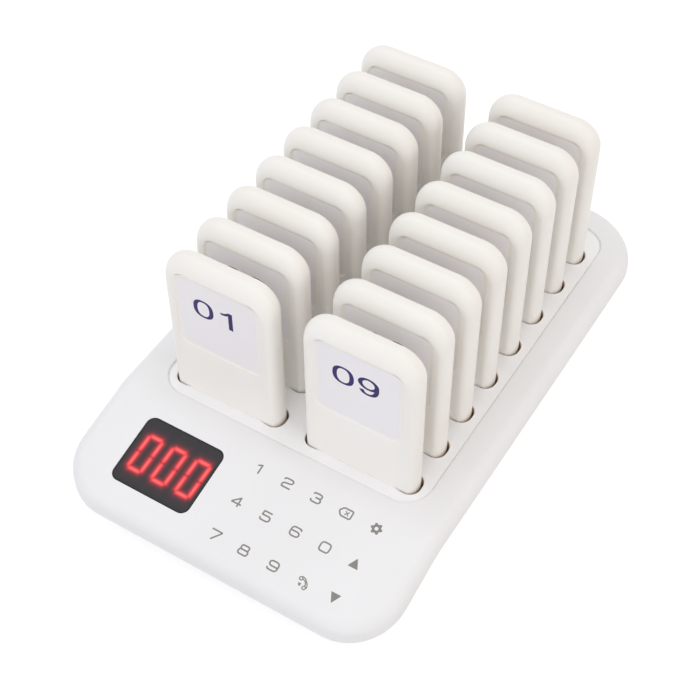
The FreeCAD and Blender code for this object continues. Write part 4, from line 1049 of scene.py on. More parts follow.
@dataclass
class SlotLips:
    """The tray's lips along both faces of every slot, which take up the play and keep each pager upright.

    A lip lies a small lift above the rounded edge of its slot. At its ends it is only a skin over that edge,
    and its straight middle reaches out to the pager with a slight fall.
    """

    top: float = 31.2 * MM
    depth: float = 1.1 * MM
    rounding: float = 0.5 * MM
    clearance: float = 0.55 * MM
    play: float = 0.03 * MM
    fall: float = 0.12 * MM
    lift: float = 0.005 * MM
    skin: float = 0.02 * MM
    sunk: float = 0.002 * MM
    straight: float = 17.5 * MM
    end: float = 22.9 * MM
    stations: int = 9

    def section(self, share: float) -> np.ndarray:
        """One section of a lip, as distances in from the slot's face and up from the tray's top.

        Its underside is a radius times (cos a, sin a) about the centre of the slot's rounded edge. Its top is
        (1 - share) skin + share shelf, where the skin is such a curve too and the shelf is nearly level.

        Args:
            share: How far the lip is built up.

        Returns:
            The closed section's points, in order.
        """
        turn = np.radians(np.linspace(80.0, 0.0, 6))
        ray = np.column_stack([np.cos(turn), np.sin(turn)])
        under = ray * (self.rounding + self.lift) - self.rounding
        skin = ray * (self.rounding + self.skin) - self.rounding
        reach = self.clearance - self.play
        shelf = np.linspace((skin[0, 0], 0.0), (reach, -self.fall), len(turn))
        over = (1 - share) * skin + share * shelf
        over[:, 1] = np.minimum(over[:, 1], -self.sunk)
        foot = np.array([[over[-1, 0], -self.depth], [under[-1, 0], -self.depth]])
        return np.vstack([over, foot, under[::-1]])

    def lip(self) -> Shape:
        """One lip, which eases to nothing at both ends.

        Returns:
            The lip: along the slot from its middle, in from the slot's face and up from the tray's top.
        """
        ramp = np.linspace(self.end, self.straight, self.stations)
        places = np.concatenate([-ramp, ramp[::-1]])
        shares = smooth_step((self.end - np.abs(places)) / (self.end - self.straight))
        pairs = zip(places, shares)
        return loft(np.stack([np.insert(self.section(float(share)), 0, x, axis=1) for x, share in pairs]))

    def build(self, pagers: Sequence[Pager]) -> None:
        """Build both lips of every slot in one piece.

        Args:
            pagers: The pagers that stand in the slots.
        """
        lip = self.lip()
        lips = []
        for pager in pagers:
            across, middle, _ = pager.foot()
            for side in (-1.0, 1.0):
                face = middle + side * (pager.shell.thickness / 2 + self.clearance)
                lips.append(lip.carried(np.array([across, face, self.top]), RIGHT, -side * BACK, UP))
        piece("slot_lips", Shape.joined(lips), Finish.TRAY_LIP, "base")


def dress_node(node: bpy.types.Object, finish: Finish, shading: SoftShading) -> None:
    """Give a CAD node a finish in all its slots, and smooth its curved faces.

    Args:
        node: The node.
        finish: Its finish.
        shading: What smooths it.
    """
    for slot in node.material_slots:
        slot.material = finish.material()
    shading.apply_to(node)
    log.info("%s: dressed as %s", node.name, finish.name.lower())


@dataclass
class KeypadPlane:
    """The sloping top of the base in front of the pagers, where the keys and the display are."""

    crease_y: float = -76.5 * MM
    deck_height: float = 32.0 * MM
    angle: float = 12.2

    def directions(self) -> tuple[np.ndarray, np.ndarray]:
        """The directions up the slope and out of it."""
        tilt = np.radians(self.angle)
        return BACK * np.cos(tilt) + UP * np.sin(tilt), UP * np.cos(tilt) - BACK * np.sin(tilt)

    def lay(self, shape: Shape, x: float, down: float, height: float) -> Shape:
        """Lay a flat shape on the slope.

        Args:
            shape: The shape, with its first coordinate to the right and its second one up the slope.
            x: Where its origin goes across the base.
            down: How far down the slope from the crease it goes.
            height: How far above the surface its height zero lies.

        Returns:
            The shape in the model's frame.
        """
        up, out = self.directions()
        base = np.array([x, self.crease_y, self.deck_height]) - up * down + out * height
        return shape.carried(base, RIGHT, up, out)

    def flat(self, points: np.ndarray, x: float, down: float) -> np.ndarray:
        """Give points of the model their two coordinates on the slope, about a place on it.

        Args:
            points: The points.
            x: That place across the base.
            down: How far down the slope from the crease it is.

        Returns:
            For each point its distances to the right of the place and up the slope from it.
        """
        off = points - np.array([x, self.crease_y, self.deck_height])
        return np.column_stack([off[:, 0], off @ self.directions()[0] + down])


class KeySign(Enum):
    """What the keys show, each with its column and row."""

    ONE = (0, 0)
    TWO = (1, 0)
    THREE = (2, 0)
    ERASE = (3, 0)
    SETTINGS = (4, 0)
    FOUR = (0, 1)
    FIVE = (1, 1)
    SIX = (2, 1)
    ZERO = (3, 1)
    UP = (4, 1)
    SEVEN = (0, 2)
    EIGHT = (1, 2)
    NINE = (2, 2)
    CALL = (3, 2)
    DOWN = (4, 2)


Corners = Sequence[tuple[float, float]]
# The digits' lines through corners that are shares of a sign's half sizes. A line whose ends meet is closed.
DIGIT_LINES: dict[KeySign, Sequence[Corners]] = {
    KeySign.ZERO: [[(-1.05, -1), (1.05, -1), (1.05, 1), (-1.05, 1), (-1.05, -1)]],
    KeySign.ONE: [[(-0.55, 0.62), (0.3, 1)], [(0.3, 1.12), (0.3, -1.1)]],
    KeySign.TWO: [
        [(-1, 0.55), (-1, 1), (1, 1), (1, 0.1), (-1, -0.1), (-1, -1), (-0.55, -1)],
        [(-0.6, -1), (1.05, -1)],
    ],
    KeySign.THREE: [
        [(-0.95, 0.6), (-0.95, 1), (0.9, 1), (0.9, 0.05), (-0.35, 0.05)],
        [(-0.35, 0.05), (1, 0.05), (1, -1), (-1, -1), (-1, -0.5)],
    ],
    KeySign.FOUR: [
        [(0.42, 1.0), (-1.1, -0.38)],
        [(-1.15, -0.42), (1.1, -0.42)],
        [(0.45, 1.15), (0.45, -1.1)],
    ],
    KeySign.FIVE: [
        [(0.95, 1), (-0.85, 1)],
        [(-0.85, 1.05), (-0.9, 0.05)],
        [(-0.9, 0.12), (1, 0.2), (1, -1), (-1, -1), (-1, -0.5)],
    ],
    KeySign.SIX: [
        [(1, 0.55), (1, 1), (-1, 1), (-1, -1), (1, -1), (1, 0.1), (-0.6, 0.1)],
        [(-1, 0.1), (-0.5, 0.1)],
    ],
    KeySign.SEVEN: [[(-1.2, 1), (1.2, 1), (-0.45, -1.2)]],
    KeySign.EIGHT: [
        [(-0.85, 0.05), (0.85, 0.05), (0.85, 1), (-0.85, 1), (-0.85, 0.05)],
        [(-1, -1), (1, -1), (1, 0.05), (-1, 0.05), (-1, -1)],
    ],
    KeySign.NINE: [
        [(-1, -0.55), (-1, -1), (1, -1), (1, 1), (-1, 1), (-1, -0.1), (0.6, -0.1)],
        [(1, -0.1), (0.5, -0.1)],
    ],
}
TIGHT_BENDS = {KeySign.SEVEN: 0.5 * MM, KeySign.EIGHT: 0.9 * MM}


@dataclass
class KeySigns:
    """The signs printed on the touch keypad."""

    plane: KeypadPlane
    first_x: float = -2.0 * MM
    first_down: float = 9.9 * MM
    pitch_x: float = 14.5 * MM
    pitch_down: float = 17.1 * MM
    half_width: float = 2.15 * MM
    half_height: float = 2.05 * MM
    line: float = 0.7 * MM
    fine_line: float = 0.48 * MM
    bend: float = 1.5 * MM
    overprint: float = 0.008 * MM
    proud: float = 0.02 * MM
    arrow_half: tuple[float, float] = (2.35 * MM, 2.25 * MM)
    arrow_bend: float = 0.35 * MM
    tag_bend: float = 0.7 * MM
    cross_half: float = 0.9 * MM
    gear_radius: float = 2.28 * MM
    gear_swing: float = 0.4 * MM
    gear_hole: float = 0.85 * MM
    handset_lean: float = 45.0
    handset_drop: float = 0.5 * MM
    earpiece: float = 0.72 * MM
    fan_radius: float = 1.5 * MM

    def strokes(self, *lines: np.ndarray, line: float | None = None) -> Shape:
        """Draw several lines with an even pen, each a little above the one before.

        Args:
            lines: The lines' points.
            line: The pen's width, if it isn't the keypad's usual one.

        Returns:
            The flat drawing.
        """
        pen = Pen(line or self.line, line or self.line)
        return Shape.overprinted([pen.stroke(path) for path in lines], self.overprint)

    def run(self, corners: Corners, bend: float) -> np.ndarray:
        """A line through corners given as shares of the sign's half sizes.

        Args:
            corners: The corners. A closed line starts halfway along its first run.
            bend: How far from a corner its arc starts.

        Returns:
            The line's points.
        """
        nodes = np.asarray(corners) * [self.half_width, self.half_height]
        if corners[0] == corners[-1]:
            middle = nodes[:2].mean(axis=0, keepdims=True)
            nodes = np.concatenate([middle, nodes[1:], middle])
        return bent_path(nodes, bend)

    def sign(self, sign: KeySign) -> Shape:
        """Draw one sign about its own middle.

        Args:
            sign: Which sign.

        Returns:
            The flat sign.
        """
        if sign in DIGIT_LINES:
            bend = TIGHT_BENDS.get(sign, self.bend)
            return self.strokes(*(self.run(corners, bend) for corners in DIGIT_LINES[sign]))
        drawn = {
            KeySign.UP: lambda: self.arrow(1.0),
            KeySign.DOWN: lambda: self.arrow(-1.0),
            KeySign.ERASE: self.erase_sign,
            KeySign.SETTINGS: self.gear_sign,
            KeySign.CALL: self.handset_sign,
        }
        return drawn[sign]()

    def arrow(self, way: float) -> Shape:
        """A solid triangle.

        Args:
            way: Up the slope for 1 and down it for -1.

        Returns:
            The flat sign.
        """
        half, height = self.arrow_half
        corners = [(0.0, -height * way), (half, -height * way), (0.0, height * way), (-half, -height * way)]
        return prism(bent_path(corners + [corners[0]], self.arrow_bend)[:-1], -INK, 0.0)

    def erase_sign(self) -> Shape:
        """A tag that points left, with a small cross in it.

        Returns:
            The flat sign.
        """
        nose, left, right, height = -3.4 * MM, -1.9 * MM, 2.6 * MM, 1.9 * MM
        start = (0.2 * MM, -height)
        blunt_end = [start, (right, -height), (right, height)]
        corners = blunt_end + [(left, height), (nose, 0.0), (left, -height), start]
        reach, middle = self.cross_half, np.array([0.3 * MM, 0.0])
        falling = middle + np.linspace((-reach, reach), (reach, -reach), 4)
        rising = middle + np.linspace((-reach, -reach), (reach, reach), 4)
        tag = self.strokes(bent_path(corners, self.tag_bend))
        return Shape.joined([tag, self.strokes(falling, rising, line=self.fine_line)])

    def gear_sign(self) -> Shape:
        """A gear with a round hole and six blunt lobes: at angle a its radius is r - s tanh(1.5 cos 6a).

        Returns:
            The flat sign.
        """
        angles = np.linspace(0.0, 2 * np.pi, 96, endpoint=False)
        ray = np.column_stack([np.sin(angles), np.cos(angles)])
        radius = self.gear_radius - self.gear_swing * np.tanh(1.5 * np.cos(6 * angles))
        return ring_patch(radius[:, None] * ray, self.gear_hole * ray)

    def handset_sign(self) -> Shape:
        """A telephone handset in outline, leaning to the right, with a small fan of sound beside it.

        Returns:
            The flat sign.
        """
        back = [(0.3, 2.85), (1.1, 2.35), (1.6, 1.2), (1.7, 0.0), (1.6, -1.2), (1.1, -2.35), (0.3, -2.85)]
        grip = [(0.5, 1.6), (1.0, 0.85), (1.17, 0.0), (1.0, -0.85), (0.5, -1.6)]
        lines = [flowing_path([(x * MM, y * MM) for x, y in knots], 5) for knots in (back, grip)]
        for y in (-2.15 * MM, 2.15 * MM):
            ring = oval_path((-0.05 * MM, y), (self.earpiece, self.earpiece))
            ring[-1] = ring[0]
            lines.append(ring)
        foot = (-0.4 * MM, 0.0)
        fan = np.vstack([[foot], oval_path(foot, (self.fan_radius, self.fan_radius), 145, 215)])
        lean = np.radians(self.handset_lean)
        turn = np.array([[np.cos(lean), np.sin(lean)], [-np.sin(lean), np.cos(lean)]])
        drop = np.array([0.0, -self.handset_drop])
        outline = self.strokes(*(line @ turn + drop for line in lines), line=self.fine_line)
        return Shape.joined([outline, prism(fan @ turn + drop, -INK, 0.0)])

    def build(self) -> None:
        """Print every sign on the slope."""
        for sign in KeySign:
            column, row = sign.value
            x = self.first_x + column * self.pitch_x
            down = self.first_down + row * self.pitch_down
            laid = self.plane.lay(self.sign(sign), x, down, self.proud)
            piece(f"key_sign_{sign.name.lower()}", laid, Finish.KEY_INK, "base")


@dataclass
class Display:
    """The smoked window with three lit figures behind it."""

    plane: KeypadPlane
    x: float = -38.2 * MM
    down: float = 26.8 * MM
    width: float = 40.0 * MM
    length: float = 33.0 * MM
    radius: float = 4.0 * MM
    thickness: float = 1.5 * MM
    edge: float = 0.35 * MM
    figure_x: tuple[float, float, float] = (-11.6 * MM, 0.95 * MM, 13.5 * MM)
    figure_half_width: float = 3.4 * MM
    figure_half_height: float = 8.4 * MM
    figure_drop: float = 0.5 * MM
    lean: float = 0.035
    gap: float = 0.2 * MM
    bar: float = 0.62 * MM
    halo: float = 1.25 * MM
    softness: float = 0.3 * MM
    core_glow: float = 0.5
    halo_glow: float = 0.56
    end_loss: float = 0.5
    face_inset: float = 1.4 * MM
    face_proud: float = 0.01 * MM
    rim_in: float = 0.35 * MM
    rim_out: float = 1.15 * MM
    columns: int = 260
    rows: int = 220

    def bars(self) -> np.ndarray:
        """The middle lines of the lit bars.

        A zero lights its outer six bars: one along the top and one along the foot, and two up each side.

        Returns:
            Start and end points as an array of bar, end and coordinate, about the window's middle.
        """
        w, h, g = self.figure_half_width, self.figure_half_height, self.gap
        lines = np.array(
            [
                [(g - w, h), (w - g, h)],
                [(g - w, -h), (w - g, -h)],
                [(-w, g), (-w, h - g)],
                [(-w, g - h), (-w, -g)],
                [(w, g), (w, h - g)],
                [(w, g - h), (w, -g)],
            ]
        )
        lines[..., 0] += self.lean * lines[..., 1]
        places = np.column_stack([self.figure_x, np.full(3, -self.figure_drop)])
        return (lines[None] + places[:, None, None]).reshape(-1, 2, 2)

    def glow(self, points: np.ndarray) -> np.ndarray:
        """How brightly the window shines at each point.

        A bar has pointed ends. With u along it and v across it, both from its middle, and l and w its half
        sizes, the distance outside it is about s = max(|v| - w, (|u| + |v| - l) / 1.41). The core glows as
        1 / (1 + exp(s / softness)), less the loss times (u / l)^3 towards its ends, and the light scattered
        round it as exp(-s / halo).

        Args:
            points: Points about the window's middle.

        Returns:
            The glow of each point, from zero to one.
        """
        lines = self.bars()
        along = lines[:, 1] - lines[:, 0]
        length = np.linalg.norm(along, axis=1)
        along /= length[:, None]
        offset = points[:, None] - lines.mean(axis=1)
        u = np.abs((offset * along).sum(-1))
        v = np.abs(offset[..., 0] * along[:, 1] - offset[..., 1] * along[:, 0])
        outside = np.maximum(v - self.bar, (u + v - length / 2) / np.sqrt(2))
        kept = 1.0 - self.end_loss * np.clip(2 * u / length, 0.0, 1.0) ** 3
        lit = (kept / (1.0 + np.exp(np.clip(outside / self.softness, -40, 40)))).max(axis=1)
        scattered = np.exp(-np.maximum(outside.min(axis=1), 0.0) / self.halo)
        return np.clip(lit * self.core_glow + scattered * self.halo_glow, 0.0, 1.0)

    def build(self) -> None:
        """Build the window, which doesn't glow itself, and the lit face on it."""
        half_w, half_l = self.width / 2, self.length / 2
        outline = (-half_w, half_w, -half_l, half_l)
        body = plate(outline, self.radius, -self.thickness, 0.0, self.edge, self.face_inset)
        laid = self.plane.lay(body, self.x, self.down, 0.0)
        name = "display_window_frame"
        window = piece(name, laid, Finish.WINDOW, "base", stands_for=["display_window"]).data
        points = np.empty(len(window.vertices) * 3)
        window.vertices.foreach_get("co", points)
        self.mark(window, "glow", np.zeros(len(window.vertices)))
        self.mark(window, "rim", self.rim(self.plane.flat(points.reshape(-1, 3), self.x, self.down)))
        self.build_lit_face()

    def build_lit_face(self) -> None:
        """Build the lit face, a fine grid just over the window's middle that carries the glow."""
        half_x, half_y = self.width / 2 - self.face_inset, self.length / 2 - self.face_inset
        reach_x, reach_y = np.linspace(-half_x, half_x, self.columns), np.linspace(-half_y, half_y, self.rows)
        across, upward = np.meshgrid(reach_x, reach_y)
        flat = np.column_stack([across.ravel(), upward.ravel()])
        index = np.arange(flat.shape[0]).reshape(self.rows, self.columns)
        quads = np.stack([index[:-1, :-1], index[:-1, 1:], index[1:, 1:], index[1:, :-1]], axis=-1)
        shape = Shape(at_height(flat, 0.0), quads.reshape(-1, 4).tolist())
        laid = self.plane.lay(shape, self.x, self.down, self.face_proud)
        mesh = bpy.data.meshes.new("display_lit_face")
        mesh.from_pydata(laid.points.tolist(), [], laid.faces)
        self.mark(mesh, "glow", self.glow(flat))
        self.mark(mesh, "rim", self.rim(flat))
        mount("display_lit_face", mesh, Finish.WINDOW, "base")

    def rim(self, points: np.ndarray) -> np.ndarray:
        """How far each point belongs to the window's dark printed rim.

        With q the distances from the rounded corner's centre, d = radius - |max(q, 0)| is the distance to the
        outline, and the rim is one minus a smooth step of d from rim_in to rim_out.

        Args:
            points: Points about the window's middle.

        Returns:
            One on the rim, zero inside it.
        """
        q = np.abs(points) - (np.array([self.width, self.length]) / 2 - self.radius)
        inward = self.radius - np.linalg.norm(np.maximum(q, 0.0), axis=1) - np.minimum(q.max(axis=1), 0.0)
        return 1.0 - smooth_step((inward - self.rim_in) / (self.rim_out - self.rim_in))

    @staticmethod
    def mark(mesh: bpy.types.Mesh, name: str, values: np.ndarray) -> None:
        """Keep a value for each of a mesh's points."""
        mesh.attributes.new(name, "FLOAT", "POINT").data.foreach_set("value", values.astype(np.float32))


@dataclass
class RockerMarks:
    """The line and the ring on the two faces of the power switch."""

    line_place: tuple[float, float, float] = (11.15 * MM, 121.532 * MM, 12.5 * MM)
    line_out: tuple[float, float, float] = (0.008, 0.99997, 0.0)
    ring_place: tuple[float, float, float] = (16.29 * MM, 122.256 * MM, 12.5 * MM)
    ring_out: tuple[float, float, float] = (-0.2833, 0.959, 0.0)
    height: float = 2.2 * MM
    line: float = 0.4 * MM
    ring_half_width: float = 0.85 * MM

    def lay(self, shape: Shape, place: Sequence[float], out: Sequence[float]) -> Shape:
        """Lay a flat mark on a face of the rocker.

        Args:
            shape: The mark, with its second coordinate upwards.
            place: A point of the face.
            out: The face's normal.

        Returns:
            The mark in its place, on top of the face.
        """
        way = np.asarray(out)
        return shape.carried(np.asarray(place) + way * INK, np.cross(UP, way), UP, way)

    def build(self) -> None:
        """Print both marks."""
        pen = Pen(self.line, self.line)
        upright = pen.stroke(np.array([(0.0, -self.height / 2), (0.0, 0.0), (0.0, self.height / 2)]))
        ring = oval_path((0.0, 0.0), (self.ring_half_width, (self.height - self.line) / 2))
        ring[-1] = ring[0]
        on = self.lay(upright, self.line_place, self.line_out)
        off = self.lay(pen.stroke(ring), self.ring_place, self.ring_out)
        piece("rocker_mark_on", on, Finish.MARK_INK, "rocker")
        piece("rocker_mark_off", off, Finish.MARK_INK, "rocker")


# ---------------------------------------------------------------- the pagers


class Half(Enum):
    """The two covers of a pager, each with the side of the seam that it lies on."""

    FRONT = -1
    REAR = 1


@dataclass
class Numerals:
    """Wide printed numerals with heavy uprights and light level strokes."""

    width: float = 10.0 * MM
    height: float = 10.4 * MM
    upright: float = 2.05 * MM
    level: float = 1.1 * MM
    overprint: float = 0.012 * MM

    def paths(self, digit: int) -> list[np.ndarray]:
        """The middle lines of a numeral, with both coordinates from -1 to 1.

        Args:
            digit: The numeral.

        Returns:
            Its lines.
        """
        neck = [(0.86, 0.56), (0.62, 0.88), (0.08, 1.0), (-0.55, 0.82), (-0.9, 0.3), (-0.94, -0.36)]
        six = [oval_path((0.03, -0.36), (0.97, 0.64), -180, 180), flowing_path(neck)]
        swan = [(-0.94, 0.38), (-0.74, 0.83), (0.0, 1.0), (0.76, 0.83), (0.96, 0.44), (0.66, 0.02)]
        high_hook = [(-0.9, 0.46), (-0.66, 0.86), (0.0, 1.0), (0.66, 0.88), (0.86, 0.52), (0.6, 0.14)]
        low_hook = [(0.0, 0.04), (0.7, -0.06), (1.0, -0.46), (0.74, -0.87), (0.0, -1.0), (-0.72, -0.84)]
        bowl = [(-0.84, -0.02), (-0.4, 0.22), (0.1, 0.28), (0.76, 0.1), (1.0, -0.36), (0.74, -0.84)]
        shapes = {
            0: [self.long_oval()],
            1: [
                flowing_path([(-0.78, 0.56), (-0.36, 0.61), (0.04, 0.75), (0.38, 0.95)]),
                np.array([(0.42, 1.06), (0.42, 0.0), (0.42, -1.12)]),
            ],
            2: [
                flowing_path(swan + [(-0.1, -0.4), (-0.8, -0.78), (-1.0, -1.0)]),
                np.array([(-1.1, -1.0), (0.0, -1.0), (1.05, -1.0)]),
            ],
            3: [flowing_path(high_hook + [(-0.1, 0.06)]), flowing_path(low_hook + [(-0.98, -0.42)])],
            4: [
                np.array([(0.38, 1.0), (-0.3, 0.3), (-1.0, -0.42)]),
                np.array([(-1.1, -0.46), (0.0, -0.46), (1.1, -0.46)]),
                np.array([(0.42, 1.1), (0.42, 0.0), (0.42, -1.12)]),
            ],
            5: [
                np.array([(0.88, 1.0), (0.1, 1.0), (-0.72, 1.0)]),
                np.array([(-0.66, 1.08), (-0.75, 0.5), (-0.84, -0.02)]),
                flowing_path(bowl + [(0.02, -1.0), (-0.7, -0.86), (-1.0, -0.46)]),
            ],
            6: six,
            7: [
                np.array([(-1.0, 1.0), (0.0, 1.0), (1.0, 1.0)]),
                flowing_path([(0.98, 0.98), (0.4, 0.34), (0.0, -0.32), (-0.2, -1.1)]),
            ],
            8: [
                oval_path((0.0, 0.51), (0.82, 0.49), -90, 270),
                oval_path((0.0, -0.47), (1.0, 0.53), -90, 270),
            ],
            9: [-path for path in six],
        }
        return shapes[digit]

    @staticmethod
    def long_oval() -> np.ndarray:
        """A closed oval with slightly squared shoulders.

        Returns:
            A circle's points, each of whose coordinates c becomes sign(c) |c|^0.82.
        """
        angles = np.linspace(0.0, 2 * np.pi, 57)
        ray = np.column_stack([np.cos(angles), np.sin(angles)])
        path = np.sign(ray) * np.abs(ray) ** 0.82
        path[-1] = path[0]
        return path

    def draw(self, digit: int) -> Shape:
        """Draw a numeral about its own middle.

        Args:
            digit: The numeral.

        Returns:
            The flat numeral.
        """
        pen = Pen(self.upright, self.level)
        reach = np.array([(self.width - self.upright) / 2, (self.height - self.level) / 2])
        return Shape.overprinted([pen.stroke(path * reach) for path in self.paths(digit)], self.overprint)


@dataclass
class PagerShell:
    """The two hollow covers that every pager has, drawn about the middle of its lower edge at the seam."""

    thickness: float = 10.8 * MM
    height: float = 95.0 * MM
    width: float = 54.0 * MM
    corner: float = 12.5 * MM
    edge_in: float = 3.65 * MM
    edge_deep: float = 5.0 * MM
    brow: float = 7.0 * MM
    wall: float = 1.6 * MM
    inner_edge: float = 3.01 * MM
    face_step: float = 0.25 * MM
    seam: float = 0.14 * MM
    recess: float = 0.5 * MM
    recess_box: tuple[float, float, float, float] = (-21.2 * MM, 21.2 * MM, 44.9 * MM, 87.7 * MM)
    recess_radius: float = 5.4 * MM
    recess_lip: float = 0.6 * MM
    contact_x: float = 12.0 * MM
    notch_half: float = 3.6 * MM
    notch_top: float = 2.7 * MM
    notch_depth: float = 2.1 * MM
    notch_radius: float = 0.3 * MM
    past: float = 2.0 * MM
    steps: int = 14

    def rings(self, half: Half) -> np.ndarray:
        """The rings of a hollow cover, from inside its face round the seam to the middle of its face.

        Its edge is a quarter oval. Along the top of the front cover it is drawn out into a sloping brow above
        the label: t = 1 - (1 - s^1.5)^(1 / 1.5) of the brow's height, where s is the share of the depth.

        Args:
            half: Which cover.

        Returns:
            Rings with coordinates across, up and out from the seam.
        """
        outline = (-self.width / 2, self.width / 2, 0.0, self.height)
        out = self.thickness / 2
        turn = np.linspace(0.0, np.pi / 2, 12)
        inward = self.wall + self.inner_edge * (1 - np.cos(turn))
        upward = out - self.wall - self.inner_edge * (1 - np.sin(turn))
        inside = np.column_stack([inward, upward])[::-1]
        seam = np.array([[self.wall, 0.0], [self.seam * 0.8, 0.0], [0.0, self.seam]])
        rise = self.edge_deep * np.sin(turn)
        inset = self.edge_in * (1 - np.cos(turn))
        brow = inset if half is Half.REAR else self.brow * (1 - (1 - np.sin(turn) ** 1.5) ** (1 / 1.5))
        rounded = np.column_stack([inset, out - self.edge_deep + rise, brow])
        shelled = np.vstack([inside, seam])
        face = np.array([[self.edge_in + self.face_step, out, brow[-1] + self.face_step]])
        profile = np.vstack([np.column_stack([shelled, shelled[:, 0]]), rounded, face])
        rings = inset_rings(outline, self.corner, profile, self.steps)
        if half is Half.REAR:
            return rings
        lip = np.linspace(0.0, 1.0, 6)
        dish = np.column_stack([self.recess_lip * lip, out - self.recess * smooth_step(lip)])
        return np.concatenate([rings, inset_rings(self.recess_box, self.recess_radius, dish, self.steps)])

    def shape(self, half: Half) -> Shape:
        """One cover, with notches in its lower edge for the charging contacts.

        Args:
            half: Which cover.

        Returns:
            The cover, with coordinates across, up and out from the seam.
        """
        tools = []
        for x in (-self.contact_x, self.contact_x):
            left, right = x - self.notch_half, x + self.notch_half
            outline = rounded_outline(left, right, -self.past, self.notch_top, [self.notch_radius] * 4, 5)
            tools.append(prism(outline, -self.past, self.notch_depth))
        return cut_away(loft(self.rings(half)), Shape.joined(tools))


@dataclass
class Pager:
    """One pager: two covers, the electronics between them, and a numbered label."""

    number: int
    shell: PagerShell
    covers: Mapping[Half, Shape]
    label_box: tuple[float, float, float, float] = (-19.3 * MM, 19.3 * MM, 46.7 * MM, 85.9 * MM)
    label_radius: float = 3.6 * MM
    label_thickness: float = 0.1 * MM
    label_edge: float = 0.04 * MM
    print_proud: float = 0.02 * MM
    numeral_x: tuple[float, float] = (-6.77 * MM, 5.09 * MM)
    numeral_z: float = 71.95 * MM

    @property
    def body(self) -> str:
        """The body that this pager rides on."""
        return f"pager_{self.number:02d}"

    def foot(self) -> np.ndarray:
        """The middle of the pager's lower edge, at its seam."""
        low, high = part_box(f"{self.body}_front_cover")
        return np.array([(low[0] + high[0]) / 2, high[1], low[2]])

    def cover(self, half: Half) -> Shape:
        """One cover in its place."""
        return self.covers[half].carried(self.foot(), RIGHT, UP, half.value * BACK)

    def on_face(self, shape: Shape, x: float, z: float, out: float) -> Shape:
        """Lay a flat shape against the pager's front.

        Args:
            shape: The flat shape.
            x: Where its origin goes, right of the pager's middle.
            z: Where its origin goes, above the pager's foot.
            out: How far its height zero lies from the seam.

        Returns:
            The shape in its place.
        """
        return shape.carried(self.foot() + RIGHT * x + UP * z - BACK * out, RIGHT, UP, -BACK)

    def build(self, nodes: Mapping[str, bpy.types.Object], shading: SoftShading) -> None:
        """Build the covers, the label and the number, and dress the electronics.

        Args:
            nodes: The frame's nodes by name.
            shading: What smooths the CAD node's curved faces.
        """
        for half in Half:
            name = f"{self.body}_{half.name.lower()}_cover"
            piece(f"{name}_shell", self.cover(half), Finish.PAGER, self.body, stands_for=[name])
        top = self.shell.thickness / 2 - self.shell.recess + self.label_thickness
        label = plate(self.label_box, self.label_radius, -self.label_thickness, 0.0, self.label_edge)
        piece(f"{self.body}_label", self.on_face(label, 0.0, 0.0, top), Finish.LABEL, self.body)
        numerals, ink_top = Numerals(), top + self.print_proud
        for place, digit in enumerate(divmod(self.number, 10)):
            drawn = self.on_face(numerals.draw(digit), self.numeral_x[place], self.numeral_z, ink_top)
            piece(f"{self.body}_numeral_{place + 1}", drawn, Finish.NUMBER_INK, self.body)
        dress_node(nodes[f"{self.body}_electronics"], Finish.PAGER_INSIDE, shading)


# ---------------------------------------------------------------- studio


@dataclass(frozen=True)
class SoftLamp:
    """A square soft light that faces the base, with its power in watts."""

    name: str
    place: tuple[float, float, float]
    size: float
    power: float
    colour: str

    def build(self) -> None:
        """Hang the lamp."""
        light = bpy.data.lights.new(self.name, "AREA")
        light.shape = "SQUARE"
        light.size = self.size
        light.energy = self.power
        light.color = tone(self.colour)[:3]
        lamp = bpy.data.objects.new(self.name, light)
        facing = (-Vector(self.place)).to_track_quat("-Z", "Y").to_matrix().to_4x4()
        lamp.matrix_world = Matrix.Translation(self.place) @ facing
        bpy.context.collection.objects.link(lamp)


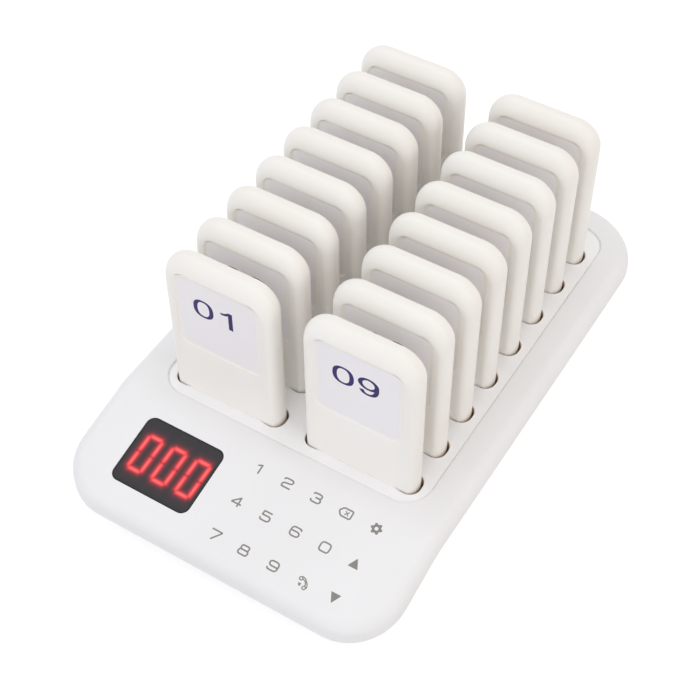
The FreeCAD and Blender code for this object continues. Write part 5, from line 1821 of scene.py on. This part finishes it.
@dataclass
class Studio:
    """A pale floor, soft lights and the camera."""

    lamps: tuple[SoftLamp, ...] = (
        SoftLamp("key_light", (-0.5, -0.4, 1.3), 1.0, 0.85, "fdfdff"),
        SoftLamp("top_light", (0.0, 0.02, 1.2), 0.5, 1.25, "fffdf8"),
        SoftLamp("front_light", (0.1, -1.1, 0.45), 1.2, 1.75, "dfebff"),
        SoftLamp("side_light", (1.1, -0.2, 0.6), 0.9, 0.8, "fff8f0"),
    )
    floor_size: float = 3.0
    floor_tone: Colour = (0.74, 0.74, 0.74, 1.0)
    floor_shine: float = 0.52
    camera_place: tuple[float, float, float] = (0.226913, -0.382662, 0.543440)
    camera_right: tuple[float, float, float] = (0.849813, 0.527027, -0.007722)
    camera_up: tuple[float, float, float] = (-0.394166, 0.645170, 0.654514)
    camera_back: tuple[float, float, float] = (0.349928, -0.553171, 0.756010)
    lens: float = 78.955
    sensor: float = 36.0
    nearest: float = 0.01
    sky: float = 0.8
    cool: Colour = (0.93, 0.965, 1.0, 1.0)
    warm: Colour = (1.0, 0.96, 0.925, 1.0)

    def build_floor(self) -> None:
        """Lay a floor that looks white where it is fully lit and keeps the shadow of the base."""
        half = self.floor_size / 2
        mesh = bpy.data.meshes.new("floor")
        corners = [(-half, -half, 0), (half, -half, 0), (half, half, 0), (-half, half, 0)]
        mesh.from_pydata(corners, [], [(0, 1, 2, 3)])
        paint = Paint("floor_paper")
        paper = paint.signal("ShaderNodeBsdfDiffuse", None, {"Color": self.floor_tone})
        shine = paint.signal("ShaderNodeEmission", None, {"Color": WHITE, "Strength": self.floor_shine})
        lit = paint.signal("ShaderNodeAddShader", None, {0: paper, 1: shine})
        both = paint.signal("ShaderNodeMixShader", None, {0: self.looked_at(paint), 1: paper, 2: lit})
        paint.node("ShaderNodeOutputMaterial", None, {"Surface": both})
        mesh.materials.append(paint.material)
        floor = bpy.data.objects.new("floor", mesh)
        bpy.context.collection.objects.link(floor)

    def build_sky(self) -> None:
        """Surround the base with even light, cooler on its left, and with plain white to look at."""
        world = bpy.data.worlds.new("studio")
        world.use_nodes = True
        paint = Paint.over(world.node_tree)
        split = paint.signal("ShaderNodeTexCoord", output="Generated")
        across = paint.signal("ShaderNodeSeparateXYZ", None, {0: split}, "X")
        tint = paint.mixed(across.smoothed(-0.8, 0.8), self.cool, self.warm)
        light = paint.signal("ShaderNodeBackground", None, {"Color": tint, "Strength": self.sky})
        white = paint.signal("ShaderNodeBackground", None, {"Color": WHITE, "Strength": 1.0})
        sky = paint.signal("ShaderNodeMixShader", None, {0: self.looked_at(paint), 1: light, 2: white})
        paint.node("ShaderNodeOutputWorld", None, {"Surface": sky})
        bpy.context.scene.world = world

    @staticmethod
    def looked_at(paint: Paint) -> Signal:
        """Tell rays that look from rays that light.

        Args:
            paint: The material under construction.

        Returns:
            One for rays from the camera, from a gloss or through a clear piece, otherwise zero.
        """
        path = paint.node("ShaderNodeLightPath")
        names = ("Is Camera Ray", "Is Glossy Ray", "Is Transmission Ray")
        camera, gloss, clear = (Signal(paint, path.outputs[name]) for name in names)
        return (camera + gloss + clear).clamped()

    def build_camera(self) -> None:
        """Stand the camera at the front right, looking down on the keypad."""
        view = bpy.data.cameras.new("camera")
        view.lens = self.lens
        view.sensor_width = self.sensor
        view.clip_start = self.nearest
        camera = bpy.data.objects.new("camera", view)
        columns = (self.camera_right, self.camera_up, self.camera_back)
        turn = Matrix(columns).transposed().to_4x4()
        camera.matrix_world = Matrix.Translation(self.camera_place) @ turn
        bpy.context.collection.objects.link(camera)
        bpy.context.scene.camera = camera

    def build(self) -> None:
        """Build the whole studio."""
        bpy.context.scene.view_settings.view_transform = "Standard"
        self.build_floor()
        self.build_sky()
        for lamp in self.lamps:
            lamp.build()
        self.build_camera()


def main() -> None:
    """Build the looks of the whole pager system."""
    logging.basicConfig(level=logging.INFO, format="%(name)s: %(message)s")
    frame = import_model()
    shading = SoftShading()
    Studio().build()
    Base().dress(frame["nodes"], shading)
    plane = KeypadPlane()
    TraySeam().build()
    KeySigns(plane).build()
    Display(plane).build()
    RockerMarks().build()
    shell = PagerShell()
    covers = {half: shell.shape(half) for half in Half}
    pagers = [Pager(number, shell, covers) for number in range(1, PAGERS + 1)]
    for pager in pagers:
        pager.build(frame["nodes"], shading)
    SlotLips().build(pagers)


if __name__ == "__main__":
    main()
